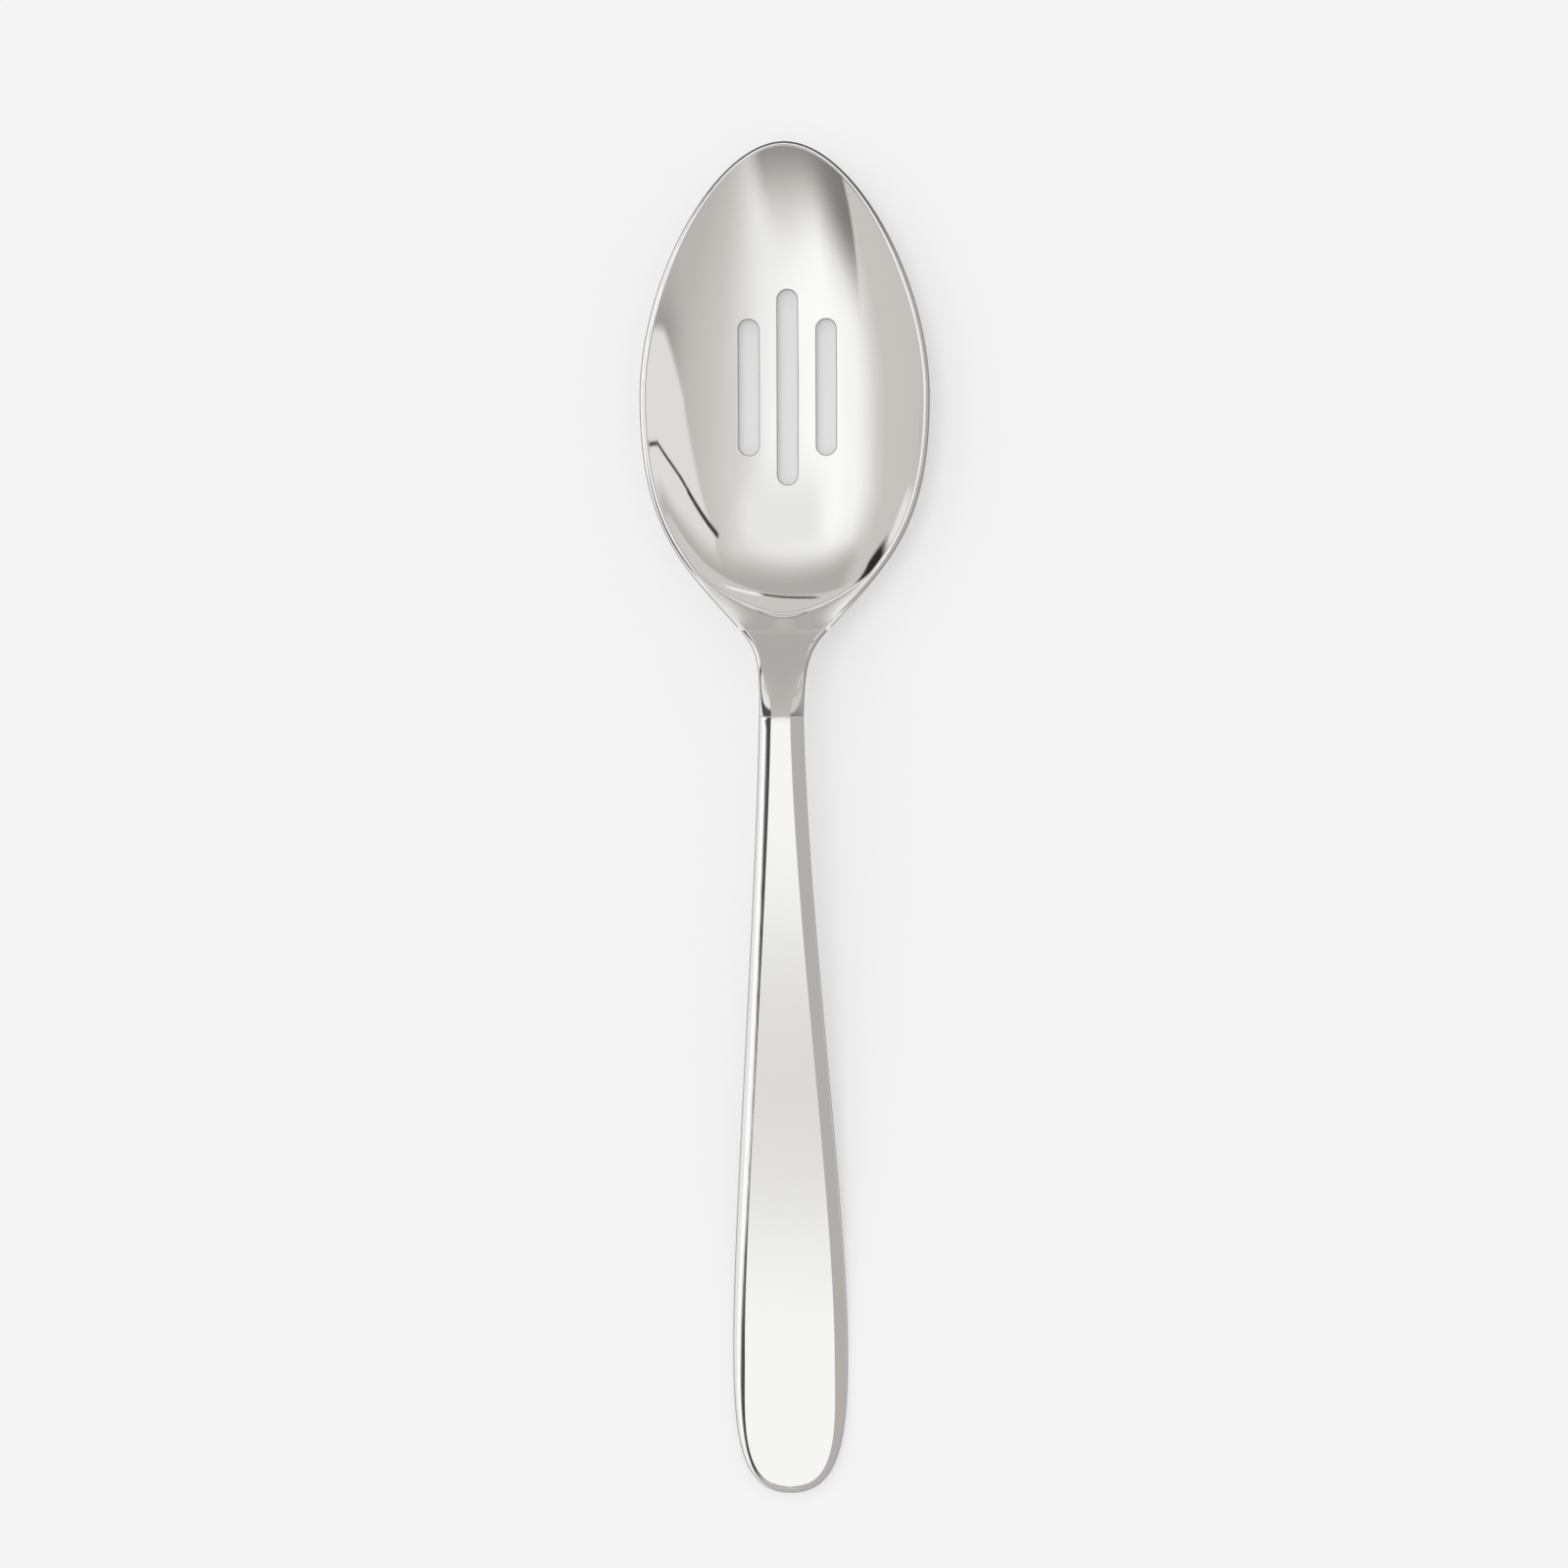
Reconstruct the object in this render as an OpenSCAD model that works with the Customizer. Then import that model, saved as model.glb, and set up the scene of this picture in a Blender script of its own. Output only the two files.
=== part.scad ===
// Slotted serving spoon in polished stainless steel, lying on its bowl and handle end.
// X runs across the spoon, Y along it with the bowl's tip at +Y, and Z up from the table.
// Distances called "along" run from the bowl's tip towards the end of the handle.

/* [Bowl] */
// Length of the bowl, from its tip to the shoulders where the neck starts
bowl_length = 90; // [70:1:115]
// Greatest width of the bowl
bowl_width = 53.6; // [44:0.2:66]
// Width of the bowl at its shoulders
shoulder_width = 16.2; // [13:0.2:20]
// Height of the rim above the table, halfway along the bowl
rim_height = 11.8; // [9:0.2:15]
// How much higher the rim is at the tip
tip_rise = 1; // [0:0.1:3]
// Thickness of the bowl's floor
floor_thickness = 1.5; // [1:0.1:2.5]
// Thickness of the bowl's edge
rim_thickness = 1.6; // [1:0.1:2.5]
// Width of the polished band that runs round the rim
rim_band = 0.8; // [0.6:0.1:1.6]

/* [Slots] */
// Width of each slot
slot_width = 3.7; // [2:0.1:5]
// Distance between the centre lines of two slots
slot_pitch = 7.2; // [6:0.1:9]
// Length of the slot in the middle
middle_slot_length = 36.2; // [20:0.2:42]
// Length of the slots at the sides
side_slot_length = 25.2; // [15:0.2:32]
// Distance along the bowl from its tip to the middle of the slots
slot_centre = 44.5; // [38:0.5:50]

/* [Neck] */
// Length of the neck, from the shoulders to the crest
neck_length = 16; // [11:0.5:24]
// Width of the neck at its narrowest
neck_width = 8.2; // [6:0.1:11]
// How much higher than the rim the neck's top is where it leaves the bowl
shoulder_rise = 2.8; // [1.6:0.1:4]
// How much higher than that the crest between neck and handle is
crest_rise = 8.9; // [5:0.1:12]
// Thickness of the neck at both of its ends
neck_thickness = 4.8; // [3.5:0.1:6]

/* [Handle] */
// Length of the handle, from the crest to its end
handle_length = 144; // [110:1:190]
// Greatest width of the handle, near its end
handle_width = 21.4; // [16:0.2:28]
// Thickness of the handle at its end
end_thickness = 3; // [2:0.1:4.5]
// Width of the rounded band along each side of the handle
side_band = 2.2; // [1.2:0.1:3]
// Width of the same band round the handle's end
end_band = 1.3; // [0.8:0.1:2]
// Length of the handle's end that lies flat on the table
resting_length = 20; // [8:1:40]

/* [Hidden] */

overall_length = bowl_length + neck_length + handle_length;
crest_along = bowl_length + neck_length;
shoulder_half = shoulder_width / 2;
neck_half = neck_width / 2;
cut_overrun = 2;
slot_facets = 48;

// Bowl's outline: handles of the curves from the tip to the widest place and on to the shoulder
tip_round_share = 0.476;
tip_side_share = 0.28;
widest_share = 0.52;
flank_share = 0.79;
shoulder_angle = 47.7;
shoulder_run_share = 0.186;

// Neck's outline: handles of the curve from the shoulder to the narrowest place
neck_turn_share = 0.32;
neck_narrow_share = 0.4;

// How far along the neck its rounded edge starts to widen
band_start_share = 0.4;

// Handle's outline: handles of the curves from the crest to the widest place and round the end
handle_waist_share = 0.45;
handle_start_share = 0.26;
handle_swell_share = 0.63;
handle_widest_share = 0.82;
end_side_share = 0.94;
end_round_share = 0.82;

// Bowl's hollow: its lowest place along the bowl, how round its wall is, and its lip
lowest_share = 0.51;
wall_roundness = 0.7;
lip_share = 0.35;
lip_drop_share = 0.1;
heel_spread_power = 6;
heel_floor_power = 1.7;

// Heel of the hollow, where it ends against the neck's facet: its place, sag and half width
heel_share = 0.965;
heel_sag_share = 0.03;
heel_half_share = 0.39;

// Rounded edge of rim, neck and handle: where its arc starts and ends, in degrees from level
edge_angle = 30;
edge_steps = 4;

// Steps that the curves are drawn with
heel_steps = 4;
flank_steps = 14;
tip_steps = 12;
neck_steps = 8;
handle_steps = 24;
end_steps = 12;
hollow_rings = 7;

// How much closer the steps lie towards the tip and the handle's end
end_fineness = 1.3;

// Point on a cubic curve with four control points, and the curve's direction there
function curve_point(p, u) =
    pow(1 - u, 3) * p[0] + 3 * pow(1 - u, 2) * u * p[1]
    + 3 * (1 - u) * pow(u, 2) * p[2] + pow(u, 3) * p[3];
function curve_direction(p, u) =
    pow(1 - u, 2) * (p[1] - p[0]) + 2 * (1 - u) * u * (p[2] - p[1])
    + pow(u, 2) * (p[3] - p[2]);

// Outline point [across, along, normal across, normal along], its normal pointing outwards
function outline_point(p, u) =
    let (at = curve_point(p, u), way = curve_direction(p, u) / norm(curve_direction(p, u)))
    [at[0], at[1], way[1], -way[0]];

function mix(a, b, share) = a + (b - a) * share;
function smooth(u) = u * u * (3 - 2 * u);
function clamped(u) = min(1, max(0, u));
function smooth_between(from, to, along) = smooth(clamped((along - from) / (to - from)));

// Curve through two heights with a slope at each, over a given length
function sloped_curve(from, to, from_slope, to_slope, length, u) =
    mix(from, to, smooth(u))
    + length * (from_slope * u * pow(1 - u, 2) - to_slope * pow(u, 2) * (1 - u));

// Control points of the outline's curves, each [across, along]
bowl_half = bowl_width / 2;
handle_half = handle_width / 2;
widest_along = widest_share * bowl_length;
shoulder_run = shoulder_run_share * bowl_length;
tip_curve = [
    [0, 0],
    [tip_round_share * bowl_half, 0],
    [bowl_half, tip_side_share * bowl_length],
    [bowl_half, widest_along]
];
flank_curve = [
    [bowl_half, widest_along],
    [bowl_half, flank_share * bowl_length],
    [
        shoulder_half + shoulder_run * cos(shoulder_angle),
        bowl_length - shoulder_run * sin(shoulder_angle)
    ],
    [shoulder_half, bowl_length]
];
neck_turn = neck_turn_share * neck_length;
neck_curve = [
    [shoulder_half, bowl_length],
    [
        shoulder_half - neck_turn * cos(shoulder_angle),
        bowl_length + neck_turn * sin(shoulder_angle)
    ],
    [neck_half, bowl_length + neck_narrow_share * neck_length],
    [neck_half, crest_along]
];
handle_curve = [
    [neck_half, crest_along],
    [handle_waist_share * handle_half, crest_along + handle_start_share * handle_length],
    [handle_half, crest_along + handle_swell_share * handle_length],
    [handle_half, crest_along + handle_widest_share * handle_length]
];
end_curve = [
    [handle_half, crest_along + handle_widest_share * handle_length],
    [handle_half, crest_along + end_side_share * handle_length],
    [end_round_share * handle_half, overall_length],
    [0, overall_length]
];

// Side view of the top, from the rim up the neck's facet to the crest and down the handle
shoulder_height = rim_height + shoulder_rise;
crest_height = shoulder_height + crest_rise;
neck_slope = crest_rise / neck_length;
heel_power = neck_slope * bowl_length / shoulder_rise;
function rim_top(along) =
    let (u = along / bowl_length)
    rim_height + tip_rise * pow(clamped(1 - u), 3)
    + shoulder_rise * pow(clamped(u), heel_power);
function handle_fall(along) =
    smooth_between(crest_along, overall_length - resting_length, along);
function top_height(along) =
    along < bowl_length ? rim_top(along)
    : along < crest_along ? shoulder_height + neck_slope * (along - bowl_length)
    : mix(crest_height, end_thickness, handle_fall(along));

// Thickness of the edge: thin round the rim, thick at the neck, thinner to the handle's end
lowest_along = lowest_share * bowl_length;
shoulder_bottom = shoulder_height - neck_thickness;
crest_bottom = crest_height - neck_thickness;
heel_bottom_slope = heel_floor_power * shoulder_bottom / (bowl_length - lowest_along);
function neck_bottom(along) =
    sloped_curve(shoulder_bottom, crest_bottom, heel_bottom_slope, 0, neck_length,
        (along - bowl_length) / neck_length);
function edge_thickness(along) =
    along < bowl_length
        ? mix(rim_thickness, neck_thickness, pow(clamped(along / bowl_length), heel_power))
    : along < crest_along ? top_height(along) - neck_bottom(along)
    : mix(neck_thickness, end_thickness, handle_fall(along));

// Width of the rounded edge seen from above
band_start = bowl_length + band_start_share * neck_length;
function band_width(along) =
    along < crest_along
        ? mix(rim_band, side_band, smooth_between(band_start, crest_along, along))
    : mix(side_band, end_band, smooth_between(handle_curve[3][1], overall_length, along));

// How far in from the outline and how far down from the top each line of the edge lies
function edge_turn(step) = mix(edge_angle, 180 - edge_angle, step / edge_steps);
function edge_inset_share(step) = (1 - sin(edge_turn(step))) / (1 - sin(edge_angle));
function edge_drop_share(step) = (cos(edge_angle) - cos(edge_turn(step))) / 2 / cos(edge_angle);

// Turns [across, along, height] into the spoon's own X, Y and Z
function placed(p) = [p[0], overall_length / 2 - p[1], p[2]];

// Point of one line of the edge; square_cut keeps a line's last point in the joint's plane
function edge_point(o, step, square_cut = false) =
    let (
        inset = edge_inset_share(step) * band_width(o[1]),
        across = square_cut ? o[0] - inset / o[2] : o[0] - inset * o[2],
        along = square_cut ? o[1] : o[1] - inset * o[3]
    )
    [across, along, top_height(along) - edge_drop_share(step) * edge_thickness(along)];

// Half of a loop and its mirror image; the half starts and ends on the centre line
function mirrored(p) = [-p[0], p[1], p[2]];
function whole_loop(half) =
    concat(half, [for (i = [len(half) - 2:-1:1]) mirrored(half[i])]);

// Two triangles for each step between neighbouring loops of the same count
function loop_faces(loops, count) = [
    for (j = [0:loops - 2], i = [0:count - 1])
        let (
            a = j * count + i,
            b = j * count + (i + 1) % count,
            c = b + count,
            d = a + count
        )
        each [[a, b, c], [a, c, d]]
];
function flattened(lists) = [for (list = lists) each list];

// Bowl, drawn as closed loops from the middle of the hollow, over the rim, to the middle below
bowl_outline = concat(
    [for (i = [0:flank_steps - 1]) outline_point(flank_curve, 1 - i / flank_steps)],
    [for (i = [0:tip_steps]) outline_point(tip_curve, pow(1 - i / tip_steps, end_fineness))]
);
shoulder_point = bowl_outline[0];

// Line of the edge round the whole bowl, with the straight joint line across the shoulders
function bowl_edge_half(step) =
    let (corner = edge_point(shoulder_point, step, true))
    concat(
        [for (i = [0:heel_steps - 1]) [corner[0] * i / heel_steps, corner[1], corner[2]]],
        [corner],
        [for (i = [1:len(bowl_outline) - 1]) edge_point(bowl_outline[i], step)]
    );

// Edge of the hollow: a lip inside the rim's band, and an arc across the heel
lip = lip_share * rim_band;
function heel_arc(across) =
    bowl_length * (heel_share - heel_sag_share * pow(across / (heel_half_share * bowl_half), 2));
function hollow_edge_point(o) =
    let (
        across = o[0] - (rim_band + lip) * o[2],
        along = o[1] - (rim_band + lip) * o[3],
        kept = max(0, across),
        at = min(along, heel_arc(kept))
    )
    [kept, at, top_height(at) - lip_drop_share * rim_band];
function hollow_edge_half() =
    let (corner_across = shoulder_point[0] - (rim_band + lip) / shoulder_point[2])
    concat(
        [
            for (i = [0:heel_steps])
                let (across = corner_across * i / heel_steps, at = heel_arc(across))
                [across, at, top_height(at) - lip_drop_share * rim_band]
        ],
        [for (i = [1:len(bowl_outline) - 1]) hollow_edge_point(bowl_outline[i])]
    );

// Height on the bowl's wall as a share of its edge's height, from its middle outwards
function wall_share(r) =
    (1 - sqrt(1 - pow(wall_roundness * r, 2))) / (1 - sqrt(1 - pow(wall_roundness, 2)));

// Ring of the hollow, drawn in from its edge towards the lowest place
function hollow_ring_half(r) = [
    for (p = hollow_edge_half()) [
        p[0] * r,
        lowest_along + (p[1] - lowest_along) * r,
        mix(floor_thickness, p[2], wall_share(r))
    ]
];

// Ring of the underside, which runs up to the neck more steadily than to the rim
function heel_weight(p) =
    pow(clamped((p[1] - lowest_along) / norm([p[0], p[1] - lowest_along])), heel_spread_power);
function underside_ring_half(r) = [
    for (p = bowl_edge_half(edge_steps)) [
        p[0] * r,
        lowest_along + (p[1] - lowest_along) * r,
        p[2] * mix(wall_share(r), pow(r, heel_floor_power), heel_weight(p))
    ]
];

module bowl_shell() {
    halves = concat(
        [for (j = [1:hollow_rings]) hollow_ring_half(j / hollow_rings)],
        [for (step = [0:edge_steps]) bowl_edge_half(step)],
        [for (j = [1:hollow_rings - 1]) underside_ring_half(1 - j / hollow_rings)]
    );
    loops = [for (half = halves) whole_loop(half)];
    count = len(loops[0]);
    last = len(loops) * count - count;
    top_middle = len(loops) * count;
    points = concat(
        flattened(loops),
        [[0, lowest_along, floor_thickness], [0, lowest_along, 0]]
    );
    polyhedron(
        [for (p = points) placed(p)],
        concat(
            [for (i = [0:count - 1]) [top_middle, (i + 1) % count, i]],
            loop_faces(len(loops), count),
            [for (i = [0:count - 1]) [top_middle + 1, last + i, last + (i + 1) % count]]
        )
    );
}

// Cutter for one slot with round ends, which reaches through the whole wall
module slot(across, length) {
    half_run = (length - slot_width) / 2;
    reach = rim_height + 2 * cut_overrun;
    translate([across, overall_length / 2 - slot_centre, -cut_overrun]) {
        translate([-slot_width / 2, -half_run, 0])
            cube([slot_width, 2 * half_run, reach]);
        for (end = [-1, 1])
            translate([0, end * half_run, 0])
                cylinder(d = slot_width, h = reach, $fn = slot_facets);
    }
}

module bowl() {
    color("silver")
        difference() {
            bowl_shell();
            slot(0, middle_slot_length);
            for (side = [-1, 1]) slot(side * slot_pitch, side_slot_length);
        }
}

// Neck, drawn as closed sections that run from the shoulders to the crest
module neck() {
    sections = [
        for (i = [0:neck_steps])
            let (
                o = outline_point(neck_curve, i / neck_steps),
                half = [for (step = [0:edge_steps]) edge_point(o, step, true)]
            )
            concat(half, [for (j = [edge_steps:-1:0]) mirrored(half[j])])
    ];
    count = 2 * edge_steps + 2;
    last = neck_steps * count;
    color("lightgray")
        polyhedron(
            [for (p = flattened(sections)) placed(p)],
            concat(
                [[for (i = [count - 1:-1:0]) i]],
                loop_faces(len(sections), count),
                [[for (i = [0:count - 1]) last + i]]
            )
        );
}

// Handle, drawn as lines of the edge that run from the crest round the end and back
handle_outline = concat(
    [for (i = [0:handle_steps - 1]) outline_point(handle_curve, i / handle_steps)],
    [for (i = [0:end_steps]) outline_point(end_curve, 1 - pow(1 - i / end_steps, end_fineness))]
);
function handle_line(step) =
    let (
        last = len(handle_outline) - 1,
        half = concat(
            [edge_point(handle_outline[0], step, true)],
            [for (i = [1:last]) edge_point(handle_outline[i], step)]
        )
    )
    concat(half, [for (i = [last - 1:-1:0]) mirrored(half[i])]);

module handle() {
    lines = [for (step = [0:edge_steps]) handle_line(step)];
    count = len(lines[0]);
    half_count = (count - 1) / 2;
    under = edge_steps * count;
    function side_faces() = [
        for (j = [0:edge_steps - 1], i = [0:count - 2])
            let (a = j * count + i, d = a + count)
            each [[a, d, d + 1], [a, d + 1, a + 1]]
    ];
    function flat_faces() = [
        for (i = [0:half_count - 1])
            let (left = count - 1 - i)
            each [
                [i, i + 1, left],
                [under + i, under + left, under + i + 1],
                if (i < half_count - 1) each [
                    [i + 1, left - 1, left],
                    [under + i + 1, under + left, under + left - 1]
                ]
            ]
    ];
    crest_face = concat(
        [for (j = [0:edge_steps]) j * count + count - 1],
        [for (j = [edge_steps:-1:0]) j * count]
    );
    color("gainsboro")
        polyhedron(
            [for (p = flattened(lines)) placed(p)],
            concat(side_faces(), flat_faces(), [crest_face])
        );
}

bowl();
neck();
handle();
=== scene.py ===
"""Slotted serving spoon in polished stainless steel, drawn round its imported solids.

Lengths are in metres. X runs across the spoon, Y along it with the bowl's tip at +Y, Z up.
"along" is the distance from the bowl's tip towards the end of the handle.
"""

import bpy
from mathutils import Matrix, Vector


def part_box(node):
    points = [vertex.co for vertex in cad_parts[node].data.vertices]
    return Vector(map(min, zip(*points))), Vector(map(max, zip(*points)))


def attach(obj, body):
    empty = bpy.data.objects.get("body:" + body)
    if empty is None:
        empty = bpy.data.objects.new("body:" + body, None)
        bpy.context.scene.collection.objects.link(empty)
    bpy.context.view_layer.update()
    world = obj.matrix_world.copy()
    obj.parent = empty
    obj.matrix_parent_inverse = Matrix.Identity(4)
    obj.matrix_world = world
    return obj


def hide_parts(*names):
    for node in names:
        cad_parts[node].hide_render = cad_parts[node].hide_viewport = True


bl_info = {
    "name": "Slotted Serving Spoon",
    "version": (1, 0, 0),
    "blender": (4, 5, 0),
    "location": "3D View > Sidebar > Spoon",
    "description": "Builds a polished slotted serving spoon on its table",
    "category": "Add Mesh",
}

import math
from functools import partial

import bmesh
import bpy
import numpy as np
from bpy.props import FloatProperty, FloatVectorProperty, IntProperty, PointerProperty
from mathutils import Matrix, Vector
from mathutils.geometry import delaunay_2d_cdt

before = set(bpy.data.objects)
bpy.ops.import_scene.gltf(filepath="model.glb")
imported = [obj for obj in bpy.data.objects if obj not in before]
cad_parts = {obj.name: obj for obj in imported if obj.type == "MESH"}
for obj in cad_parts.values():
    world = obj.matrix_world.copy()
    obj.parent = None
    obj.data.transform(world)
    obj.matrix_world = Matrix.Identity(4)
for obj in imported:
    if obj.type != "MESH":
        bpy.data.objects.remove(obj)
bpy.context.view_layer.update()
BOWL_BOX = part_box("bowl")
NECK_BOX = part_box("neck")
HANDLE_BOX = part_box("handle")

MM = 0.001
MERGE_DISTANCE = 1e-6
FILL_TOLERANCE = 1e-6
NORMAL_STEP = 1e-4

# Shares that shape the outline, each of the length or width that it is named after. Most of
# them place the control points of its curves.
TIP_ROUND_SHARE = 0.476
TIP_SIDE_SHARE = 0.28
WIDEST_SHARE = 0.52
FLANK_SHARE = 0.79
SHOULDER_ANGLE = math.radians(47.7)
SHOULDER_RUN_SHARE = 0.186
NECK_TURN_SHARE = 0.32
NECK_NARROW_SHARE = 0.4
HANDLE_WAIST_SHARE = 0.45
HANDLE_START_SHARE = 0.26
HANDLE_SWELL_SHARE = 0.63
HANDLE_WIDEST_SHARE = 0.82
END_SIDE_SHARE = 0.94
END_ROUND_SHARE = 0.82
END_FINENESS = 1.3
TIP_BAND_SHARE = 0.6
TIP_BAND_REACH = 0.3
BAND_START_SHARE = 0.4

# Shares that shape the hollow, its heel and the underside
LOWEST_SHARE = 0.51
WALL_ROUNDNESS = 0.7
UPRIGHT_LIMIT = 0.999
STRAIGHT_SHARE = 0.08
LIP_SHARE = 0.35
LIP_SINK_SHARE = 0.15
HEEL_SHARE = 0.9655
HEEL_JOIN_SHARE = 0.883
HEEL_FLAT_SHARE = 0.205
HEEL_TURN_SHARE = 0.03
KEEL_SHARE = 1.08
KEEL_JOIN_SHARE = 0.84
KEEL_RISE = 1.24
KEEL_FLAT_SHARE = 0.42
KEEL_RUN_SHARE = 0.45
HEEL_FLOOR_POWER = 1.7
HEEL_SPREAD_POWER = 6
FACET_SPREAD_POWER = 2
LAND_START_SHARE = 0.8
LAND_FULL_SHARE = 0.93
UNDER_BLEND = 2.2
CREST_HALF_SHARE = 0.25
CREST_ARC_LIMIT = 1.3
CREST_KICK_LIMIT = 4

# The edges' bevel, and the wear of the edges from 0 on the faces to 1 at the outline. Wear
# starts at WEAR_START of the way out to an edge and roughens the steel; high wear also darkens its
# colour as painted shade.
BEVEL_FINENESS = 2.5
WIDEST_DEPTH_SHARE = 0.85
END_BEVEL_SHARE = 0.8
BEVEL_WEAR = 0.5
# The lip and the slots' walls get wear high enough for painted shade as well as roughness
LIP_WEAR_AND_SHADE = 0.8
SLOT_WEAR_AND_SHADE = 0.9
WEAR_START = 0.97
# Wear past this darkens the steel's colour: painted shade that stands for dark reflections
SHADE_START_WEAR = 0.6

# Slots, each drawn as a tube whose wall runs from depth 0 below to 1 above. It is rounded
# from SLOT_STRAIGHT of the way out from its middle. Rings in mm go round it on the bowl.
SLOT_STRAIGHT = 0.25
SLOT_RINGS = (0.12, 0.3, 0.55, 0.85)
SLOT_CLEAR_SHARE = 0.45

# Steps that the surfaces are drawn with
FINE = 4
HEEL_STEPS = 22
FLANK_STEPS = 58
TIP_STEPS = 58
BEVEL_STEPS = 11
UNDER_STEPS = 8
HANDLE_STEPS = 150
END_STEPS = 44
ACROSS_STEPS = 28
ACROSS_FINENESS = 1.3
PATCH_SHARE = 0.62
WALL_RINGS = 22
RING_FINENESS = 0.8
LIP_RINGS = (0.992, 0.998, 1.0)
LAND_SHARES = (0.12, 0.3, 0.5, 0.7, 0.88, 0.97)
UNDER_RINGS = (0.997, 0.99)
LAST_UNDER_SHARES = (0.97, 1)
FIRST_STEP_SHARE = 0.1
FIRST_TURN = 1e-4
NECK_TABLE = 400
HANDLE_TABLE = 1600
KEEL_STEPS = 200
NECK_STEPS = 44
CREST_STEPS = 13
START_STEPS = 36
SLOT_POINTS = 112
SLOT_ROWS = 8

# Lengths in mm: the line of painted shade and wear at the outline, the crest's rounding that the
# edges leave out, and the stretches beside the joints that are drawn more finely
OUTLINE_SHADE_REACH = 0.5
CREST_CLEAR = 0.5
HEEL_JOINT = 0.05
CREST_JOINT = 0.03
CREST_NEAR = 0.9
START_NEAR = 3


def mix(a, b, share):
    return a + (b - a) * share


def smooth(share):
    share = np.clip(share, 0, 1)
    return share * share * (3 - 2 * share)


def smooth_between(start, end, along):
    return smooth((along - start) / (end - start))


def softest_least(a, b, width):
    """Smaller of two heights, with a fillet of about the given width where they cross."""
    share = np.clip((width - np.abs(a - b)) / width, 0, 1)
    return np.minimum(a, b) - share * share * width / 4


def on(surface, plan):
    """Points on a surface, given as a height over the plan."""
    return np.column_stack([plan, surface(plan[:, 0], plan[:, 1])])


def at_edge(r):
    """0 inside a closed line and 1 on it."""
    return smooth((r - WEAR_START) / (1 - WEAR_START))


def curve_points(controls, share):
    """Points on a cubic curve at the given shares of it."""
    p = np.asarray(controls, float)
    u = np.atleast_1d(share)[:, None]
    v = 1 - u
    return v**3 * p[0] + 3 * v * v * u * p[1] + 3 * v * u * u * p[2] + u**3 * p[3]


def curve_ways(controls, share):
    """Unit directions of a cubic curve at the given shares of it."""
    p = np.asarray(controls, float)
    u = np.atleast_1d(share)[:, None]
    v = 1 - u
    way = v * v * (p[1] - p[0]) + 2 * v * u * (p[2] - p[1]) + u * u * (p[3] - p[2])
    return way / np.linalg.norm(way, axis=1, keepdims=True)


def outline_rows(controls, share):
    """Rows of [across, along, normal across, normal along] with the normal pointing out."""
    way = curve_ways(controls, share)
    return np.hstack([curve_points(controls, share), way[:, 1:], -way[:, :1]])


def wall_share(r):
    """Height on the bowl's wall as a share of its edge's height, from its middle outwards."""
    k = WALL_ROUNDNESS
    inside = np.sqrt(1 - np.minimum(k * r, UPRIGHT_LIMIT) ** 2)
    return (1 - inside) / (1 - math.sqrt(1 - k * k))


def eased_wall_share(r, turn):
    """The same for the hollow, whose wall runs out straight at the sides."""
    k = WALL_ROUNDNESS
    knee = 1 - STRAIGHT_SHARE * np.sin(turn) ** 2
    slope = k * k * knee / np.sqrt(1 - (k * knee) ** 2) / (1 - math.sqrt(1 - k * k))
    straight = wall_share(knee) + slope * (r - knee)
    return np.where(r < knee, wall_share(r), straight) / (wall_share(knee) + slope * (1 - knee))


def whole_loop(half):
    """A half line that starts and ends on the centre line, with its mirror image."""
    mirrored = half[-2:0:-1] * [-1, 1, 1]
    return np.vstack([half, mirrored])


def is_inside(spot, line):
    """Whether a place lies inside a closed line, both in plan."""
    nexts = np.roll(line, -1, axis=0)
    crossed = (line[:, 1] > spot[1]) != (nexts[:, 1] > spot[1])
    a, b = line[crossed], nexts[crossed]
    at = a[:, 0] + (spot[1] - a[:, 1]) / (b[:, 1] - a[:, 1]) * (b[:, 0] - a[:, 0])
    return np.count_nonzero(spot[0] < at) % 2 == 1


class Gauge:
    """How far out a place lies, as a share of a closed line's distance in its direction."""

    def __init__(self, half, centre):
        self.centre = centre
        self.turn = np.arctan2(half[:, 0], half[:, 1] - centre)
        self.reach = np.hypot(half[:, 0], half[:, 1] - centre)
        self.height = half[:, 2]

    def read(self, across, along):
        turn = np.arctan2(np.abs(across), along - self.centre)
        distance = np.hypot(across, along - self.centre)
        reach = np.interp(turn, self.turn, self.reach)
        return distance / reach, np.interp(turn, self.turn, self.height), turn


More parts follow.
